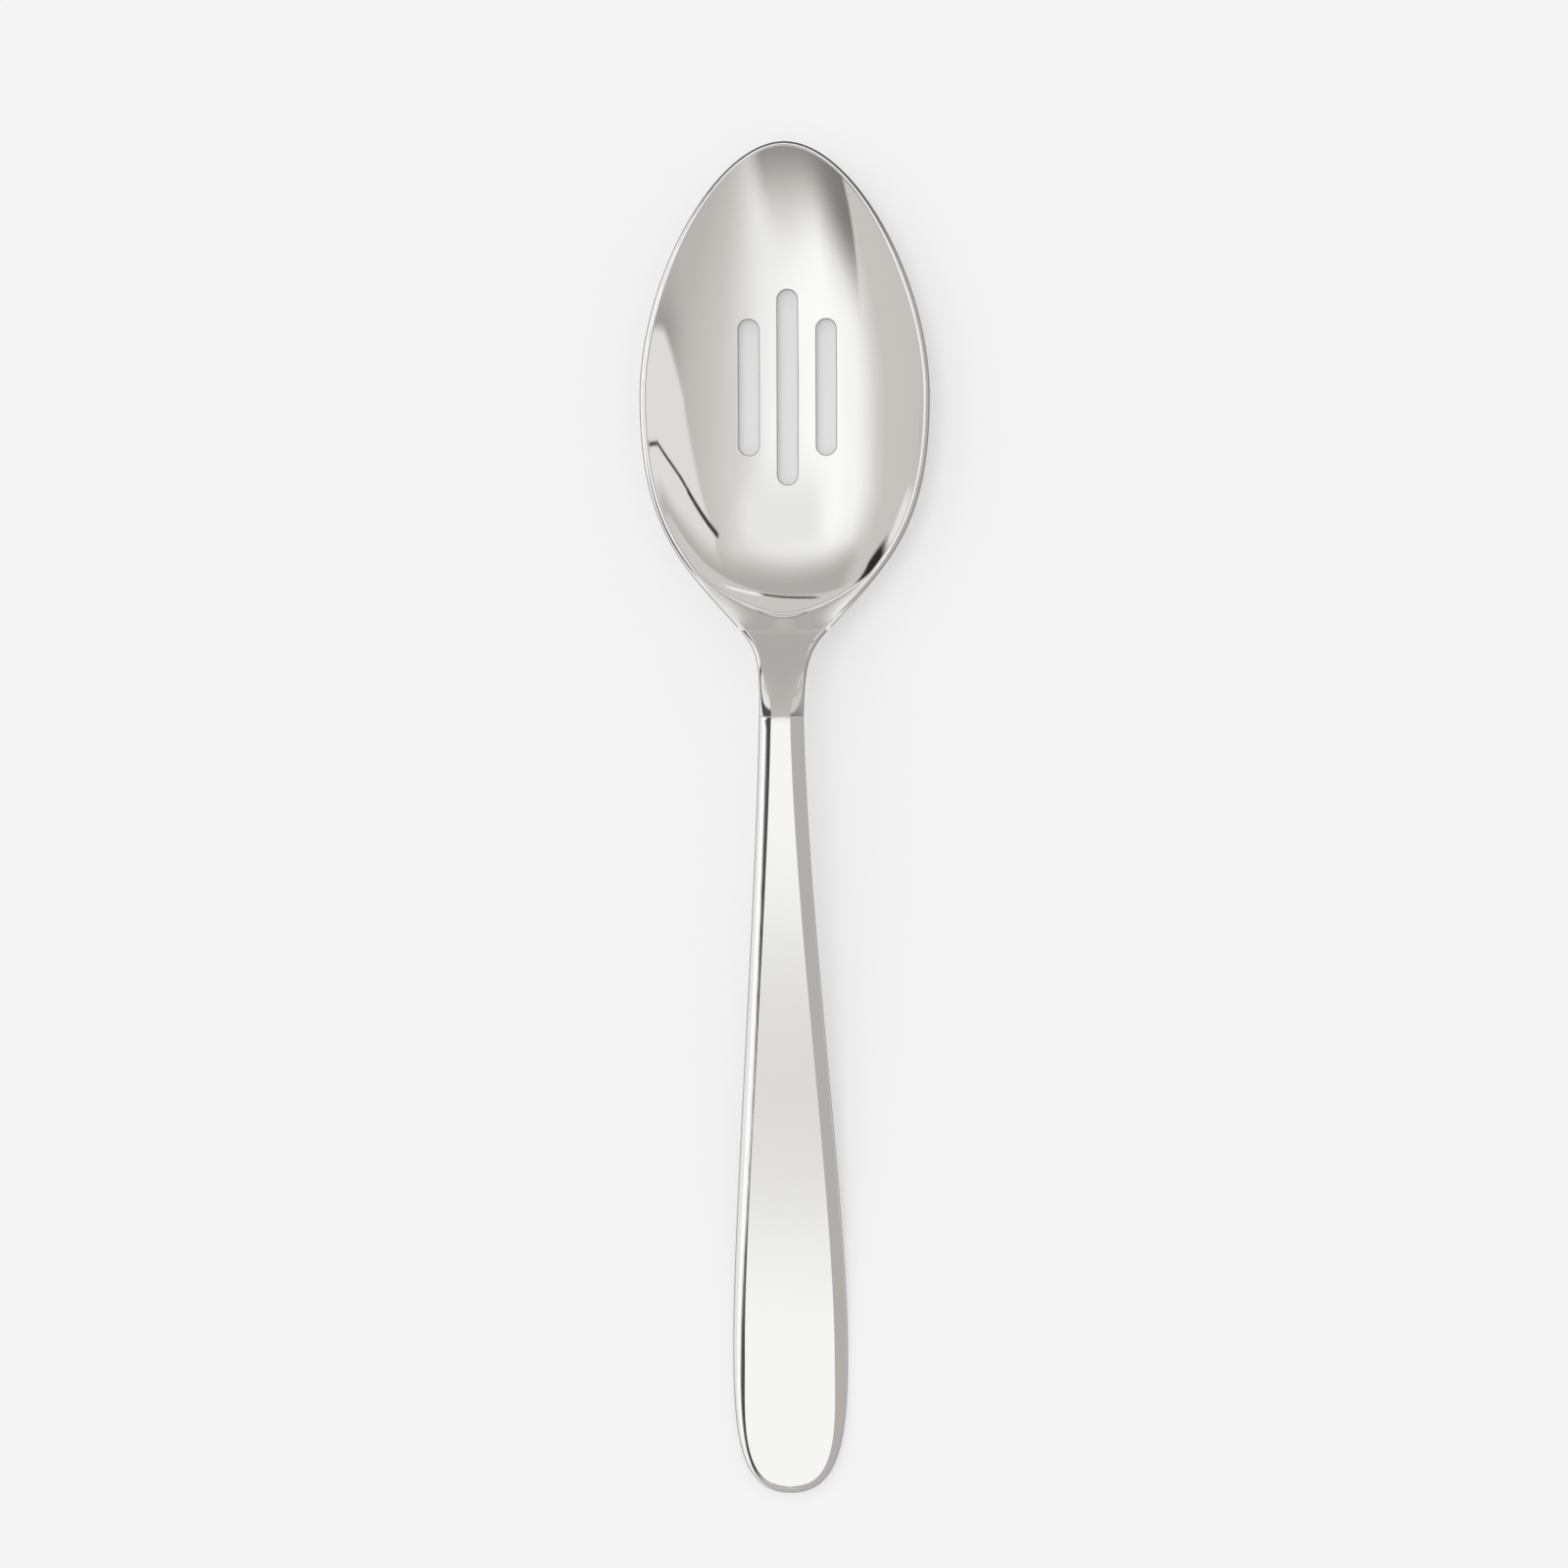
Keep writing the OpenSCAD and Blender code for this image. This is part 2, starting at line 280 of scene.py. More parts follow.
class Form:
    """Outline, top and underside of the whole spoon, worked out from its sizes."""

    def __init__(self, sizes):
        self.s = s = sizes
        bowl, neck, handle = s.bowl_length, s.neck_length, s.handle_length
        half, shoulder = s.bowl_width / 2, s.shoulder_width / 2
        self.crest = bowl + neck
        self.overall = bowl + neck + handle
        self.lowest = LOWEST_SHARE * bowl
        run = SHOULDER_RUN_SHARE * bowl
        turn = NECK_TURN_SHARE * neck
        lean = np.array([math.cos(SHOULDER_ANGLE), -math.sin(SHOULDER_ANGLE)])
        corner = np.array([shoulder, bowl])
        waist, palm = s.neck_width / 2, s.handle_width / 2
        self.widest_handle = self.crest + HANDLE_WIDEST_SHARE * handle
        self.tip_curve = [
            [0, 0],
            [TIP_ROUND_SHARE * half, 0],
            [half, TIP_SIDE_SHARE * bowl],
            [half, WIDEST_SHARE * bowl],
        ]
        self.flank_curve = [
            [half, WIDEST_SHARE * bowl],
            [half, FLANK_SHARE * bowl],
            corner + run * lean,
            corner,
        ]
        self.neck_curve = [
            corner,
            corner - turn * lean,
            [waist, bowl + NECK_NARROW_SHARE * neck],
            [waist, self.crest],
        ]
        self.handle_curve = [
            [waist, self.crest],
            [HANDLE_WAIST_SHARE * palm, self.crest + HANDLE_START_SHARE * handle],
            [palm, self.crest + HANDLE_SWELL_SHARE * handle],
            [palm, self.widest_handle],
        ]
        self.end_curve = [
            [palm, self.widest_handle],
            [palm, self.crest + END_SIDE_SHARE * handle],
            [END_ROUND_SHARE * palm, self.overall],
            [0, self.overall],
        ]
        self.shoulder_height = s.rim_height + s.shoulder_rise
        facet_end = s.crest_height - s.crest_drop - s.crest_kick
        self.facet_slope = (facet_end - self.shoulder_height) / neck
        self.facet_start_slope = self.facet_slope + 4 * s.facet_bow / neck
        rise_slope = (s.crest_height - self.shoulder_height) / neck
        self.heel_power = rise_slope * bowl / s.shoulder_rise
        self.rim_lines = self.bowl_outline(FINE)
        self.hollow_gauge = Gauge(self.hollow_half(FINE), self.lowest)
        self.under_gauge = Gauge(self.keel_half(), self.lowest)

    # Outline

    def bowl_outline(self, fineness=1):
        """Right half of the bowl's outline, from the shoulder to the tip."""
        flank = np.linspace(1, 0, FLANK_STEPS * fineness + 1)
        flank = np.insert(flank, 1, 1 - FIRST_STEP_SHARE * (1 - flank[1]))[:-1]
        tip = np.linspace(1, 0, TIP_STEPS * fineness + 1) ** END_FINENESS
        rows = np.vstack([outline_rows(self.flank_curve, flank),
                          outline_rows(self.tip_curve, tip)])
        rows[-1, 0] = 0
        return rows

    def outline_at(self, curve, steps, along):
        """Rows of a curve's outline at the given distances along the spoon."""
        table = outline_rows(curve, np.linspace(0, 1, steps))
        return np.column_stack([np.interp(along, table[:, 1], column) for column in table.T])

    def near_crest(self, along):
        """0 at the start of the neck and 1 from its crest on."""
        s = self.s
        start = s.bowl_length + BAND_START_SHARE * s.neck_length
        return smooth_between(start, self.crest, along)

    def band_width(self, along):
        s = self.s
        tip = mix(TIP_BAND_SHARE, 1, smooth_between(0, TIP_BAND_REACH * s.bowl_length, along))
        side = mix(s.rim_band * tip, s.side_band, self.near_crest(along))
        return mix(side, s.end_band, smooth_between(self.widest_handle, self.overall, along))

    def edge_angle(self, along):
        """How steeply the edge's rounding leaves the underside."""
        s = self.s
        return mix(s.rim_angle, s.side_angle, smooth_between(s.bowl_length, self.crest, along))

    def bevel_slope(self, rows):
        """Slope of the edge's bevel outwards, so that it is as steep wherever the top climbs."""
        s, bowl, step = self.s, self.s.bowl_length, NORMAL_STEP
        along, outwards, endwards = rows[:, 1], rows[:, 2], rows[:, 3]
        angle = mix(s.rim_bevel, s.side_bevel, smooth_between(bowl, self.crest, along))
        is_flank = (along < self.crest) & (endwards > 0)
        steep = np.tan(angle) * np.where(is_flank, 1, mix(1, END_BEVEL_SHARE, endwards**2))
        rim = (self.rim_top(along + step) - self.rim_top(along - step)) / (2 * step)
        past = np.maximum(along, self.crest + CREST_CLEAR * MM)
        fall = (self.handle_top(past + step) - self.handle_top(past - step)) / (2 * step)
        rise = np.where(along < bowl, rim, np.where(along < self.crest, self.facet_slope, fall))
        return rise * endwards + np.sqrt(steep**2 - (rise * outwards) ** 2)

    # Top

    def rim_top(self, along):
        s = self.s
        u = along / s.bowl_length
        rise = s.tip_rise * np.clip(1 - u, 0, 1) ** 3
        return s.rim_height + rise + s.shoulder_rise * np.clip(u, 0, 1) ** self.heel_power

    def facet(self, along):
        """Centre line of the neck's facet, which runs on straight into the bowl."""
        s = self.s
        gone = along - s.bowl_length
        u = np.clip(gone / s.neck_length, 0, None)
        line = self.shoulder_height + self.facet_slope * gone
        bow = 4 * s.facet_bow * u * (1 - u)
        return np.where(gone < 0, self.shoulder_height + self.facet_start_slope * gone, line + bow)

    def half_top(self, along):
        """Half width of the top inside the rim's band, within the bowl."""
        lines = self.rim_lines
        band = self.band_width(lines[:, 1])
        edge, place = lines[:, 0] - band * lines[:, 2], lines[:, 1] - band * lines[:, 3]
        return np.interp(along, place[::-1], edge[::-1])

    def handle_fall(self, along):
        return smooth_between(self.crest, self.overall - self.s.resting_length, along)

    def handle_top(self, along):
        s = self.s
        level = mix(s.crest_height, s.end_thickness, self.handle_fall(along))
        start = np.clip(1 - (along - self.crest) / s.crest_length, 0, None)
        return level - s.crest_drop * np.where(start < 1, start**2, 2 * start - 1)

    def land(self, across, along):
        """Top of the bowl outside its hollow, where the facet runs into the rim."""
        half = np.maximum(self.half_top(along), MERGE_DISTANCE)
        share = np.clip(np.abs(across) / half, 0, 1) ** FACET_SPREAD_POWER
        bowl = self.s.bowl_length
        near = smooth_between(LAND_START_SHARE * bowl, LAND_FULL_SHARE * bowl, along)
        return mix(self.facet(along), self.rim_top(along), mix(1, share, near))

    def neck_top(self, across, along):
        s = self.s
        share = np.minimum(across / (s.neck_width * CREST_HALF_SHARE), CREST_ARC_LIMIT)
        arc = self.near_crest(along) * s.crest_arc * share**2
        kick = 1 - (self.crest - along + arc) / s.kick_length
        facet = self.facet(along - arc) + s.crest_kick * np.clip(kick, 0, CREST_KICK_LIMIT)
        return softest_least(facet, self.handle_top(along), s.crest_fillet)

    def edge_top(self, across, along):
        """Top along the edges, where it runs on straight past the crest's rounding."""
        clear, step = CREST_CLEAR * MM, NORMAL_STEP
        near = np.where(along < self.crest, np.minimum(along, self.crest - clear),
                        np.maximum(along, self.crest + clear))
        rise = self.neck_top(across, near + step) - self.neck_top(across, near - step)
        return self.neck_top(across, near) + rise / (2 * step) * (along - near)

    def hollow(self, across, along):
        r, edge, turn = self.hollow_gauge.read(across, along)
        return mix(self.s.floor_thickness, edge, eased_wall_share(r, turn))

    # Underside

    def bowl_under(self, across, along):
        r, edge, turn = self.under_gauge.read(across, along)
        heel = np.clip(np.cos(turn), 0, 1) ** HEEL_SPREAD_POWER
        return edge * mix(wall_share(r), r**HEEL_FLOOR_POWER, heel)

    def neck_under(self, across, along):
        """Underside of the neck, which leaves the bowl's own curve and flattens out."""
        s = self.s
        bowl = self.bowl_under(across, along)
        u = np.clip((along - s.bowl_length) / s.neck_length, 0, 1)
        middle = self.bowl_under(np.zeros(1), np.array([s.bowl_length + MM]))[0]
        start = self.bowl_under(np.zeros(1), np.array([s.bowl_length]))[0]
        end = s.crest_height - s.neck_thickness
        bend = s.neck_length * (middle - start) / MM * u * (1 - u) ** 2
        return mix(bowl, mix(start, end, smooth(u)) + bend, smooth(UNDER_BLEND * u))

    def handle_under(self, across, along):
        s = self.s
        level = mix(s.crest_height, s.end_thickness, self.handle_fall(along))
        return level - mix(s.neck_thickness, s.end_thickness, self.handle_fall(along))

    # Lines that the bowl is drawn along

    def hollow_half(self, fineness=1):
        """Edge of the hollow: a lip inside the rim's band, and an arc across the heel."""
        s = self.s
        rows = self.bowl_outline(fineness)
        inset = self.band_width(rows[:, 1]) * (1 + LIP_SHARE)
        lip = rows[:, :2] - inset[:, None] * rows[:, 2:]
        lip[-1, 0] = 0
        join = int(np.argmax(lip[:, 1] < HEEL_JOIN_SHARE * s.bowl_length))
        heel_count = HEEL_STEPS * fineness
        corner = rows[0, 0] - s.rim_band / rows[0, 2]
        band = rows[1:, :2] - s.rim_band * rows[1:, 2:]
        heel = np.column_stack([
            np.linspace(0, corner, heel_count + 1), np.full(heel_count + 1, s.bowl_length)
        ])
        walk = np.vstack([heel, band[:join]])
        gone = np.append(0, np.cumsum(np.hypot(*np.diff(walk, axis=0).T)))
        share = gone[: heel_count + join + 1] / gone[heel_count + join]
        way = -np.array([rows[join, 3], -rows[join, 2]])
        start = np.array([0, HEEL_SHARE * s.bowl_length])
        controls = [
            start,
            start + [HEEL_FLAT_SHARE * s.bowl_width / 2, 0],
            lip[join] + HEEL_TURN_SHARE * s.bowl_length * way * np.sign(way[1]),
            lip[join],
        ]
        arc = curve_points(controls, share)
        return on(self.land, np.vstack([arc, lip[join + 1:]]))

    def keel_half(self):
        """Line that the underside's height is read against, closed past the joint."""
        s = self.s
        rows = self.bowl_outline(FINE)
        edge = rows[:, :2] - s.rim_band * rows[:, 2:]
        edge[-1, 0] = 0
        join = int(np.argmax(edge[:, 1] < KEEL_JOIN_SHARE * s.bowl_length))
        way = np.array([rows[join, 3], -rows[join, 2]])
        way = way * np.sign(way[1])
        keel = KEEL_SHARE * s.bowl_length
        reach = keel - edge[join, 1]
        controls = [
            [0, keel],
            [KEEL_FLAT_SHARE * edge[join, 0], keel],
            edge[join] + KEEL_RUN_SHARE * reach * way,
            edge[join],
        ]
        arc = curve_points(controls, np.linspace(0, 1, KEEL_STEPS))
        plan = np.vstack([arc, edge[join + 1:]])
        height = self.rim_top(plan[:, 1]) - s.rim_thickness
        turn = np.arctan2(plan[:, 0], plan[:, 1] - self.lowest)
        side = turn[len(arc) - 1]
        raised = KEEL_RISE * (s.rim_height - s.rim_thickness)
        near = smooth(np.clip(turn / side, 0, 1))
        at_join = height[len(arc) - 1]
        height = np.where(turn < side, mix(raised, at_join, near), height)
        return np.column_stack([plan, height])


def surface_ways(points, surface, up):
    """Normals of a surface, given as a height over the plan, or zeros where there is none."""
    ways = np.zeros((len(points), 3))
    if surface is not None:
        across, along = points[:, 0], points[:, 1]
        step = NORMAL_STEP
        ways[:, 0] = surface(across - step, along) - surface(across + step, along)
        ways[:, 1] = surface(across, along + step) - surface(across, along - step)
        ways[:, 2] = 2 * step
        ways *= up / np.linalg.norm(ways, axis=1, keepdims=True)
    return ways


def put(name, data):
    """New object in the scene."""
    thing = bpy.data.objects.new(name, data)
    bpy.context.scene.collection.objects.link(thing)
    return thing


class Maker:
    """Collects points and faces of one piece."""

    def __init__(self):
        self.points, self.wear, self.ways, self.faces, self.count = [], [], [], [], 0

    def add(self, points, wear=0.0, surface=None, up=1):
        """Adds points; those on a known surface are lit by its own normals."""
        points = np.asarray(points, float)
        self.points.append(points)
        self.wear.append(np.broadcast_to(wear, len(points)))
        self.ways.append(surface_ways(points, surface, up))
        self.count += len(points)
        return np.arange(self.count - len(points), self.count)

    def join(self, first, second, closed=True):
        """Faces between two lines of as many points."""
        steps = len(first) if closed else len(first) - 1
        for i in range(steps):
            j = (i + 1) % len(first)
            self.faces.append((first[i], first[j], second[j], second[i]))

    def fill(self, boundary, holes, inside):
        """Triangles inside a line, with holes left open and other points taken in."""
        points = np.vstack(self.points)
        chosen = np.concatenate([boundary, *holes, inside]).astype(int)
        edges, start = [], 0
        for line in [boundary, *holes]:
            count = len(line)
            edges += [(start + i, start + (i + 1) % count) for i in range(count)]
            start += count
        spots = [Vector(p) / MM for p in points[chosen, :2]]
        found, _, triangles, origin, _, _ = delaunay_2d_cdt(spots, edges, [], 0, FILL_TOLERANCE)
        known = [chosen[o[0]] for o in origin]
        lines = [points[line, :2] for line in [boundary, *holes]]
        for face in triangles:
            centre = sum((found[i] for i in face), Vector((0, 0))) / 3 * MM
            inside_lines = [is_inside(centre, line) for line in lines]
            if inside_lines == [True] + [False] * len(holes):
                self.faces.append(tuple(known[i] for i in face))

    def build(self, name, flat_planes, overall):
        """Closed mesh object whose normals point out; faces in the given planes stay flat."""
        points = np.vstack(self.points)
        placed = np.column_stack([points[:, 0], overall / 2 - points[:, 1], points[:, 2]])
        mesh = bpy.data.meshes.new(name)
        mesh.from_pydata(placed.tolist(), [], [tuple(map(int, f)) for f in self.faces])
        wear = mesh.attributes.new("wear", "FLOAT", "POINT")
        wear.data.foreach_set("value", np.concatenate(self.wear).astype(np.float32))
        ways = mesh.attributes.new("way", "FLOAT_VECTOR", "POINT")
        ways.data.foreach_set("vector", np.vstack(self.ways).ravel().astype(np.float32))
        shell = bmesh.new()
        shell.from_mesh(mesh)
        bmesh.ops.remove_doubles(shell, verts=shell.verts, dist=MERGE_DISTANCE)
        bmesh.ops.dissolve_degenerate(shell, dist=MERGE_DISTANCE, edges=shell.edges)
        bmesh.ops.recalc_face_normals(shell, faces=shell.faces)
        open_edges = sum(not edge.is_manifold for edge in shell.edges)
        if open_edges:
            raise RuntimeError(f"{name} has {open_edges} open edges")
        for face in shell.faces:
            at = [overall / 2 - vertex.co.y for vertex in face.verts]
            face.smooth = not any(
                max(abs(a - plane) for a in at) < MERGE_DISTANCE for plane in flat_planes
            )
        shell.to_mesh(mesh)
        shell.free()
        set_known_normals(mesh)
        return put(name, mesh)


def set_known_normals(mesh):
    """Lights the corners of smooth faces by the known normals of their points."""
    corners = np.zeros(len(mesh.loops) * 3)
    mesh.corner_normals.foreach_get("vector", corners)
    corners = corners.reshape(-1, 3)
    owner = np.zeros(len(mesh.loops), int)
    mesh.loops.foreach_get("vertex_index", owner)
    known = np.zeros(len(mesh.vertices) * 3)
    mesh.attributes["way"].data.foreach_get("vector", known)
    known = known.reshape(-1, 3)[owner]
    is_smooth = np.zeros(len(mesh.loops), bool)
    for face in mesh.polygons:
        is_smooth[face.loop_start:face.loop_start + face.loop_total] = face.use_smooth
    chosen = is_smooth & (np.linalg.norm(known, axis=1) > 0.5)
    corners[chosen] = known[chosen]
    mesh.normals_split_custom_set(corners.tolist())
    mesh.attributes.remove(mesh.attributes["way"])


def edge_lines(form, rows, thickness):
    """Insets, drops and wear of the edge's lines: down its bevel, then round below. Full wear at
    the outline paints a thin line of shade there.

    An inset is a share of the band's width, a drop one of the thickness.
    """
    s = form.s
    along = rows[:, 1]
    band = form.band_width(along)
    start = form.edge_angle(along)
    steep = form.bevel_slope(rows)
    turns = [0, FIRST_TURN, *np.linspace(0, math.pi / 2, BEVEL_STEPS + 1)[1:]]
    power = 2 / BEVEL_FINENESS
    whole = steep + s.bevel_rounding
    deepest = np.minimum(band * whole / thickness, WIDEST_DEPTH_SHARE)
    lines = []
    for turn in turns:
        gone = math.sin(turn) ** power
        sunk = steep * gone + s.bevel_rounding * (1 - math.cos(turn) ** power)
        lines.append((np.full(len(band), 1 - gone), sunk / whole * deepest))
    for share in [*np.linspace(0, 1, UNDER_STEPS + 1)[1:-1], *LAST_UNDER_SHARES]:
        turn = mix(math.pi / 2, math.pi - start, share)
        inset = (1 - np.sin(turn)) / (1 - np.sin(start))
        lines.append((inset, deepest - (1 - deepest) * np.cos(turn) / np.cos(start)))
    # Wear is 1 at the outline, where the steel gets a thin dark line of painted shade
    return [(inset, drop, mix(1, BEVEL_WEAR, smooth(inset * band / OUTLINE_SHADE_REACH / MM)))
            for inset, drop in lines]


def bowl_lines(form):
    """Right halves of the bowl's lines: up the hollow, over the rim, down its edge, in below.

    Each comes with its wear, which at the lip and the outline also paints shade, the surface that
    lights it and whether that faces up.
    """
    s = form.s
    rows = form.bowl_outline()
    corner = rows[0, 0] - s.rim_band / rows[0, 2]
    heel_across = np.linspace(0, corner, HEEL_STEPS + 1)[:-1]

    def band_half(inset):
        """One line of the edge in plan, with the straight joint line across the heel."""
        line = rows[:, :2] - inset[:, None] * rows[:, 2:]
        line[0] = [rows[0, 0] - inset[0] / rows[0, 2], s.bowl_length]
        line[-1, 0] = 0
        heel = heel_across / corner * line[0, 0]
        return np.vstack([np.column_stack([heel, np.full(len(heel), s.bowl_length)]), line])

    band = form.band_width(rows[:, 1])
    top_plan = band_half(band)
    top = form.land(top_plan[:, 0], top_plan[:, 1])
    under = form.bowl_under(top_plan[:, 0], top_plan[:, 1])
    hollow_line = form.hollow_half()

    def shrunk(plan, r):
        return plan * r + [0, form.lowest * (1 - r)]

    lines = []
    rings = 1 - (1 - PATCH_SHARE) * (1 - np.linspace(0, 1, WALL_RINGS + 1) ** RING_FINENESS)
    for r in [*rings[:-1], *LIP_RINGS]:
        line = on(form.hollow, shrunk(hollow_line[:, :2], r))
        if r == 1:
            line[:, 2] = hollow_line[:, 2] - LIP_SINK_SHARE * s.lip_fillet
        known = form.hollow if r < LIP_RINGS[0] else None
        # The lip's wear is high enough to paint a dark line of shade along it
        lines.append((line, LIP_WEAR_AND_SHADE * at_edge(r), known, 1))
    on_rim = (np.arange(len(top_plan)) > HEEL_STEPS + 1).astype(float)
    for share in LAND_SHARES:
        line = on(form.land, mix(hollow_line[:, :2], top_plan, share))
        known = form.land if share > LAND_SHARES[0] else None
        lines.append((line, BEVEL_WEAR * on_rim, known, 1))
    known = form.land
    for inset, drop, worn in edge_lines(form, rows, (top - under)[HEEL_STEPS:]):
        drop = np.concatenate([np.full(HEEL_STEPS, drop[0]), drop])
        line = np.column_stack([band_half(inset * band), mix(top, under, drop)])
        worn = np.concatenate([np.zeros(HEEL_STEPS), worn]) * on_rim
        lines.append((line, worn, known, 1))
        known = None
    for r in [*UNDER_RINGS, *rings[:-1][::-1]]:
        line = on(form.bowl_under, shrunk(top_plan, r))
        lines.append((line, BEVEL_WEAR * at_edge(r), form.bowl_under, -1))
    return lines


def slotted_faces(form):
    """Surfaces at a slot's lower and upper ends, each with the way that it faces."""
    return (form.bowl_under, -1), (form.hollow, 1)


def add_slots(maker, form, slots):
    """Walls of the slots, with rings round them on both faces of the bowl.

    Returns the outermost rings below and above, and the slots in plan, each as its middle,
    its half width and half the run of its straight sides.
    """
    s = form.s
    walls, wall_faces, depth = slots
    across, along = walls[:, 0], form.overall / 2 - walls[:, 1]
    out = np.abs(depth - 0.5) * 2
    turn = np.clip((out - SLOT_STRAIGHT) / (1 - SLOT_STRAIGHT), 0, 1) * math.pi / 2
    down = s.slot_rounding * (1 - np.cos(turn - math.pi / 2))
    upper, lower = form.hollow(across, along) - down, form.bowl_under(across, along) + down
    is_middle = out < 0.5 / SLOT_ROWS
    height = np.where(is_middle, (upper + lower) / 2, np.where(depth > 0.5, upper, lower))
    first = maker.count
    # The slots' walls get wear that also darkens them as painted shade
    maker.add(np.column_stack([across, along, height]), SLOT_WEAR_AND_SHADE)
    maker.faces += [tuple(first + i for i in face) for face in wall_faces]

    holes = ([], [])
    stadiums = []
    places = np.round(across / s.slot_pitch).astype(int)
    for place in sorted(set(places)):
        mine = places == place
        centre = (place * s.slot_pitch, (along[mine].min() + along[mine].max()) / 2)
        width = np.ptp(across[mine]) / 2
        run = np.ptp(along[mine]) / 2 - width
        stadiums.append((*centre, width, run))
        for end, (surface, up) in enumerate(slotted_faces(form)):
            chosen = np.flatnonzero(mine & (np.abs(depth - end) < 0.5 / SLOT_ROWS))
            turn = np.arctan2(across[chosen] - centre[0], along[chosen] - centre[1])
            chosen = chosen[np.argsort(turn)]
            line = np.column_stack([across[chosen], along[chosen]])
            spine = np.column_stack([
                np.full(len(line), centre[0]),
                np.clip(line[:, 1], centre[1] - run, centre[1] + run),
            ])
            way = (line - spine) / np.linalg.norm(line - spine, axis=1, keepdims=True)
            inner = first + chosen
            for gap in SLOT_RINGS:
                outer = maker.add(on(surface, line + gap * MM * way), 0.0, surface, up)
                maker.join(inner, outer)
                inner = outer
            holes[end].append(inner)
    return holes, stadiums


def patch_points(form, stadiums):
    """Even lattice in plan over the bowl, clear of its slots and the rings round them."""
    step = form.s.patch_spacing
    columns = int(form.s.bowl_width / step)
    lattice = np.array([
        ((i + 0.5 * (j % 2)) * step, form.lowest + j * step * math.sqrt(0.75))
        for i in range(-columns, columns + 1)
        for j in range(-columns, columns + 1)
    ])
    x, y = lattice.T
    gap = np.min([np.hypot(x - cx, np.maximum(np.abs(y - cy) - run, 0)) - width
                  for cx, cy, width, run in stadiums], axis=0) - SLOT_RINGS[-1] * MM
    return lattice[gap > SLOT_CLEAR_SHARE * step]


def make_bowl(form, slots):
    """Bowl drawn as closed lines, with a patch inside the first above and the last below."""
    s = form.s
    maker = Maker()
    lines = bowl_lines(form)
    numbers = []
    for line, worn, known, up in lines:
        worn = np.broadcast_to(worn, len(line))
        worn = np.append(worn, worn[-2:0:-1])
        numbers.append(maker.add(whole_loop(line), worn, known, up))
    for first, second in zip(numbers[:-1], numbers[1:]):
        maker.join(first, second)

    holes, stadiums = add_slots(maker, form, slots)
    lattice = patch_points(form, stadiums)
    spread = 1 - s.patch_spacing / (PATCH_SHARE * s.bowl_width)
    for end, at in ((1, 0), (0, -1)):
        r, _, _ = Gauge(lines[at][0], form.lowest).read(*lattice.T)
        surface, up = slotted_faces(form)[end]
        inside = maker.add(on(surface, lattice[r < spread]), 0.0, surface, up)
        maker.fill(numbers[at], holes[end], inside)
    return maker.build("spoon_bowl", [s.bowl_length], form.overall)


def section_line(form, rows, under, square):
    """Lines of the edge on the right side, from the top's crease to the underside's.

    They are inset straight across where the piece is square, else at right angles.
    """
    band = form.band_width(rows[:, 1])

    def plan(inset):
        if square:
            return np.column_stack([rows[:, 0] - inset * band / rows[:, 2], rows[:, 1]])
        return rows[:, :2] - (inset * band)[:, None] * rows[:, 2:]

    edge = plan(np.ones(len(rows)))
    high, low = form.edge_top(edge[:, 0], edge[:, 1]), under(edge[:, 0], edge[:, 1])
    shares = edge_lines(form, rows, high - low)
    lines = [np.column_stack([plan(inset), mix(high, low, drop)]) for inset, drop, _ in shares]
    return lines, [worn for _, _, worn in shares]


def across_lines(right, surface):
    """Lines between an edge and its mirror image, on a surface."""
    share = np.linspace(-1, 1, ACROSS_STEPS + 1)
    share = np.sign(share) * (1 - (1 - np.abs(share)) ** ACROSS_FINENESS)
    return [on(surface, right[:, :2] * [j, 1]) for j in share[1:-1]]


def make_tube(name, form, rows, under, square, ends, closed_end):
    """Piece drawn as lines that run lengthways: over the top, round the edges, below.

    Its flat ends lie in the given planes, and a closed end is one where its lines meet.
    """
    maker = Maker()
    top = form.neck_top
    right, worn = section_line(form, rows, under, square)
    left = [line * [-1, 1, 1] for line in right]
    over = across_lines(right[0], top)
    below = across_lines(right[-1], under)
    lines = left[::-1] + over + right + below[::-1]
    edge = [(line, None, 1) for line in worn[1:-1]]
    crease, hidden = (BEVEL_WEAR, top, 1), (BEVEL_WEAR, None, 1)
    kinds = [hidden, *edge[::-1], crease] + [(0.0, top, 1)] * len(over)
    kinds += [crease, *edge, hidden] + [(0.0, None, 1)] * len(below)
    numbers = [maker.add(line, *kind) for line, kind in zip(lines, kinds)]
    for first, second in zip(numbers, numbers[1:] + numbers[:1]):
        maker.join(first, second, closed=False)
    maker.faces.append(tuple(line[0] for line in numbers))
    if not closed_end:
        maker.faces.append(tuple(line[-1] for line in numbers))
    return maker.build(name, ends, form.overall)


def make_neck(form):
    start, crest = form.s.bowl_length, form.crest
    near = crest - CREST_NEAR * MM
    along = np.concatenate([
        [start, start + HEEL_JOINT * MM],
        np.linspace(start, near, NECK_STEPS)[1:-1],
        np.linspace(near, crest, CREST_STEPS)[:-1],
        [crest - CREST_JOINT * MM, crest],
    ])
    rows = form.outline_at(form.neck_curve, NECK_TABLE, along)
    rows[0, :2] = [form.s.shoulder_width / 2, start]
    return make_tube("spoon_neck", form, rows, form.neck_under, True, [start, crest], False)


